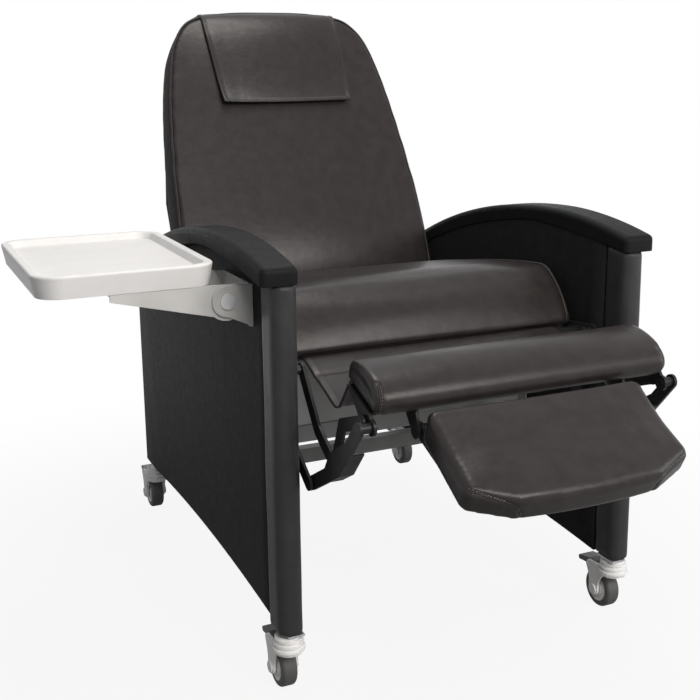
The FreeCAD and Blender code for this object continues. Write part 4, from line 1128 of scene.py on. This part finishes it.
def make_stage():
    """Pale floor that fades to white, soft lights and the camera."""
    bm = bmesh.new()
    bmesh.ops.create_grid(bm, x_segments=8, y_segments=8, size=FLOOR_HALF)
    mesh = bpy.data.meshes.new("floor")
    bm.to_mesh(mesh)
    bm.free()
    floor = add_piece("floor", mesh)
    floor.data.materials.append(floor_material())
    world = bpy.data.worlds.new("studio")
    scene.world = world
    world.use_nodes = True
    tree = world.node_tree
    ambient = tree.nodes["Background"]
    ambient.inputs["Color"].default_value = (0.93, 0.96, 1.0, 1.0)
    ambient.inputs["Strength"].default_value = AMBIENT
    seen = tree.nodes.new("ShaderNodeBackground")
    seen.inputs["Strength"].default_value = 1.0
    seen.inputs["Color"].default_value = (1.0, 1.0, 1.0, 1.0)
    mix = tree.nodes.new("ShaderNodeMixShader")
    tree.links.new(summed(tree, *looking(tree)), mix.inputs["Fac"])
    tree.links.new(ambient.outputs["Background"], mix.inputs[1])
    tree.links.new(seen.outputs["Background"], mix.inputs[2])
    tree.links.new(mix.outputs["Shader"], tree.nodes["World Output"].inputs["Surface"])
    for lamp in LAMPS:
        light(*lamp)
    make_camera()


def light(name, spot, size, power, colour, mirrored):
    """Soft square lamp aimed at the chair."""
    lamp = bpy.data.lights.new(name, "AREA")
    lamp.size = size
    lamp.energy = power
    lamp.color = colour
    holder = bpy.data.objects.new(name, lamp)
    x, y, z = spot
    at = Vector((MID_X + x, y, z))
    aim = Vector((MID_X, 0.0, AIM_HEIGHT)) - at
    holder.location = at
    holder.rotation_euler = aim.to_track_quat("-Z", "Y").to_euler()
    holder.visible_glossy = mirrored
    scene.collection.objects.link(holder)


def looking(tree):
    """Two factors: 1 for the camera's own rays, and 1 for rays that were mirrored or let through."""
    ray = tree.nodes.new("ShaderNodeLightPath")
    mirrored = summed(tree, ray.outputs["Is Glossy Ray"], ray.outputs["Is Transmission Ray"])
    return ray.outputs["Is Camera Ray"], mirrored


def summed(tree, first, last):
    """Two factors added."""
    add = tree.nodes.new("ShaderNodeMath")
    add.operation = "ADD"
    add.use_clamp = True
    tree.links.new(first, add.inputs[0])
    tree.links.new(last, add.inputs[1])
    return add.outputs["Value"]


def faded(tree, ray, distance, near, reach):
    """A ray factor that grows with the distance from the chair, so the shadow near it shows."""
    fade = tree.nodes.new("ShaderNodeMapRange")
    fade.interpolation_type = "SMOOTHSTEP"
    fade.inputs["From Min"].default_value = 0.5
    fade.inputs["From Max"].default_value = reach
    fade.inputs["To Min"].default_value = near
    fade.inputs["To Max"].default_value = 1.0
    tree.links.new(distance, fade.inputs["Value"])
    seen = tree.nodes.new("ShaderNodeMath")
    seen.operation = "MULTIPLY"
    tree.links.new(ray, seen.inputs[0])
    tree.links.new(fade.outputs["Result"], seen.inputs[1])
    return seen.outputs["Value"]


def floor_material():
    """White to the camera and in reflections away from the chair, with its shadow near it."""
    look = Shader("floor", FLOOR_TONE, 0.9)
    tree = look.tree
    length = tree.nodes.new("ShaderNodeVectorMath")
    length.operation = "LENGTH"
    tree.links.new(look.place, length.inputs[0])
    camera, mirrored = looking(tree)
    distance = length.outputs["Value"]
    straight = faded(tree, camera, distance, near=0.90, reach=1.6)
    reflected = faded(tree, mirrored, distance, near=0.2, reach=2.4)
    seen = summed(tree, straight, reflected)
    white = tree.nodes.new("ShaderNodeEmission")
    white.inputs["Strength"].default_value = 1.0
    mix = tree.nodes.new("ShaderNodeMixShader")
    tree.links.new(seen, mix.inputs["Fac"])
    tree.links.new(look.shader.outputs["BSDF"], mix.inputs[1])
    tree.links.new(white.outputs["Emission"], mix.inputs[2])
    tree.links.new(mix.outputs["Shader"], tree.nodes["Material Output"].inputs["Surface"])
    return look.material


def make_camera():
    """The photograph's view: place, turn, lens and framing."""
    yaw = math.radians(24.48)
    pitch = math.radians(12.97)
    roll = math.radians(0.45)
    ahead = Vector((math.sin(yaw) * math.cos(pitch), math.cos(yaw) * math.cos(pitch), -math.sin(pitch)))
    down = Vector((-math.sin(yaw) * math.sin(pitch), -math.cos(yaw) * math.sin(pitch), -math.cos(pitch)))
    right = Vector((math.cos(yaw), -math.sin(yaw), 0.0))
    across = right * math.cos(roll) + down * math.sin(roll)
    below = down * math.cos(roll) - right * math.sin(roll)
    data = bpy.data.cameras.new("camera")
    data.lens = 56.95
    data.sensor_width = 36.0
    data.shift_x = -0.01107
    data.shift_y = -0.0511
    camera = bpy.data.objects.new("camera", data)
    turn = Matrix((across, -below, -ahead)).transposed().to_4x4()
    at = Vector((MID_X - 0.9266, BACK_AXIS.y - 2.3027, 1.0489))
    camera.matrix_world = Matrix.Translation(at) @ turn
    scene.collection.objects.link(camera)
    scene.camera = camera


finish_cad_nodes()
make_seat()
back_pad = make_back()
make_calf()
make_leg()
make_flap(back_pad)
make_apron()
make_panels()
make_stage()
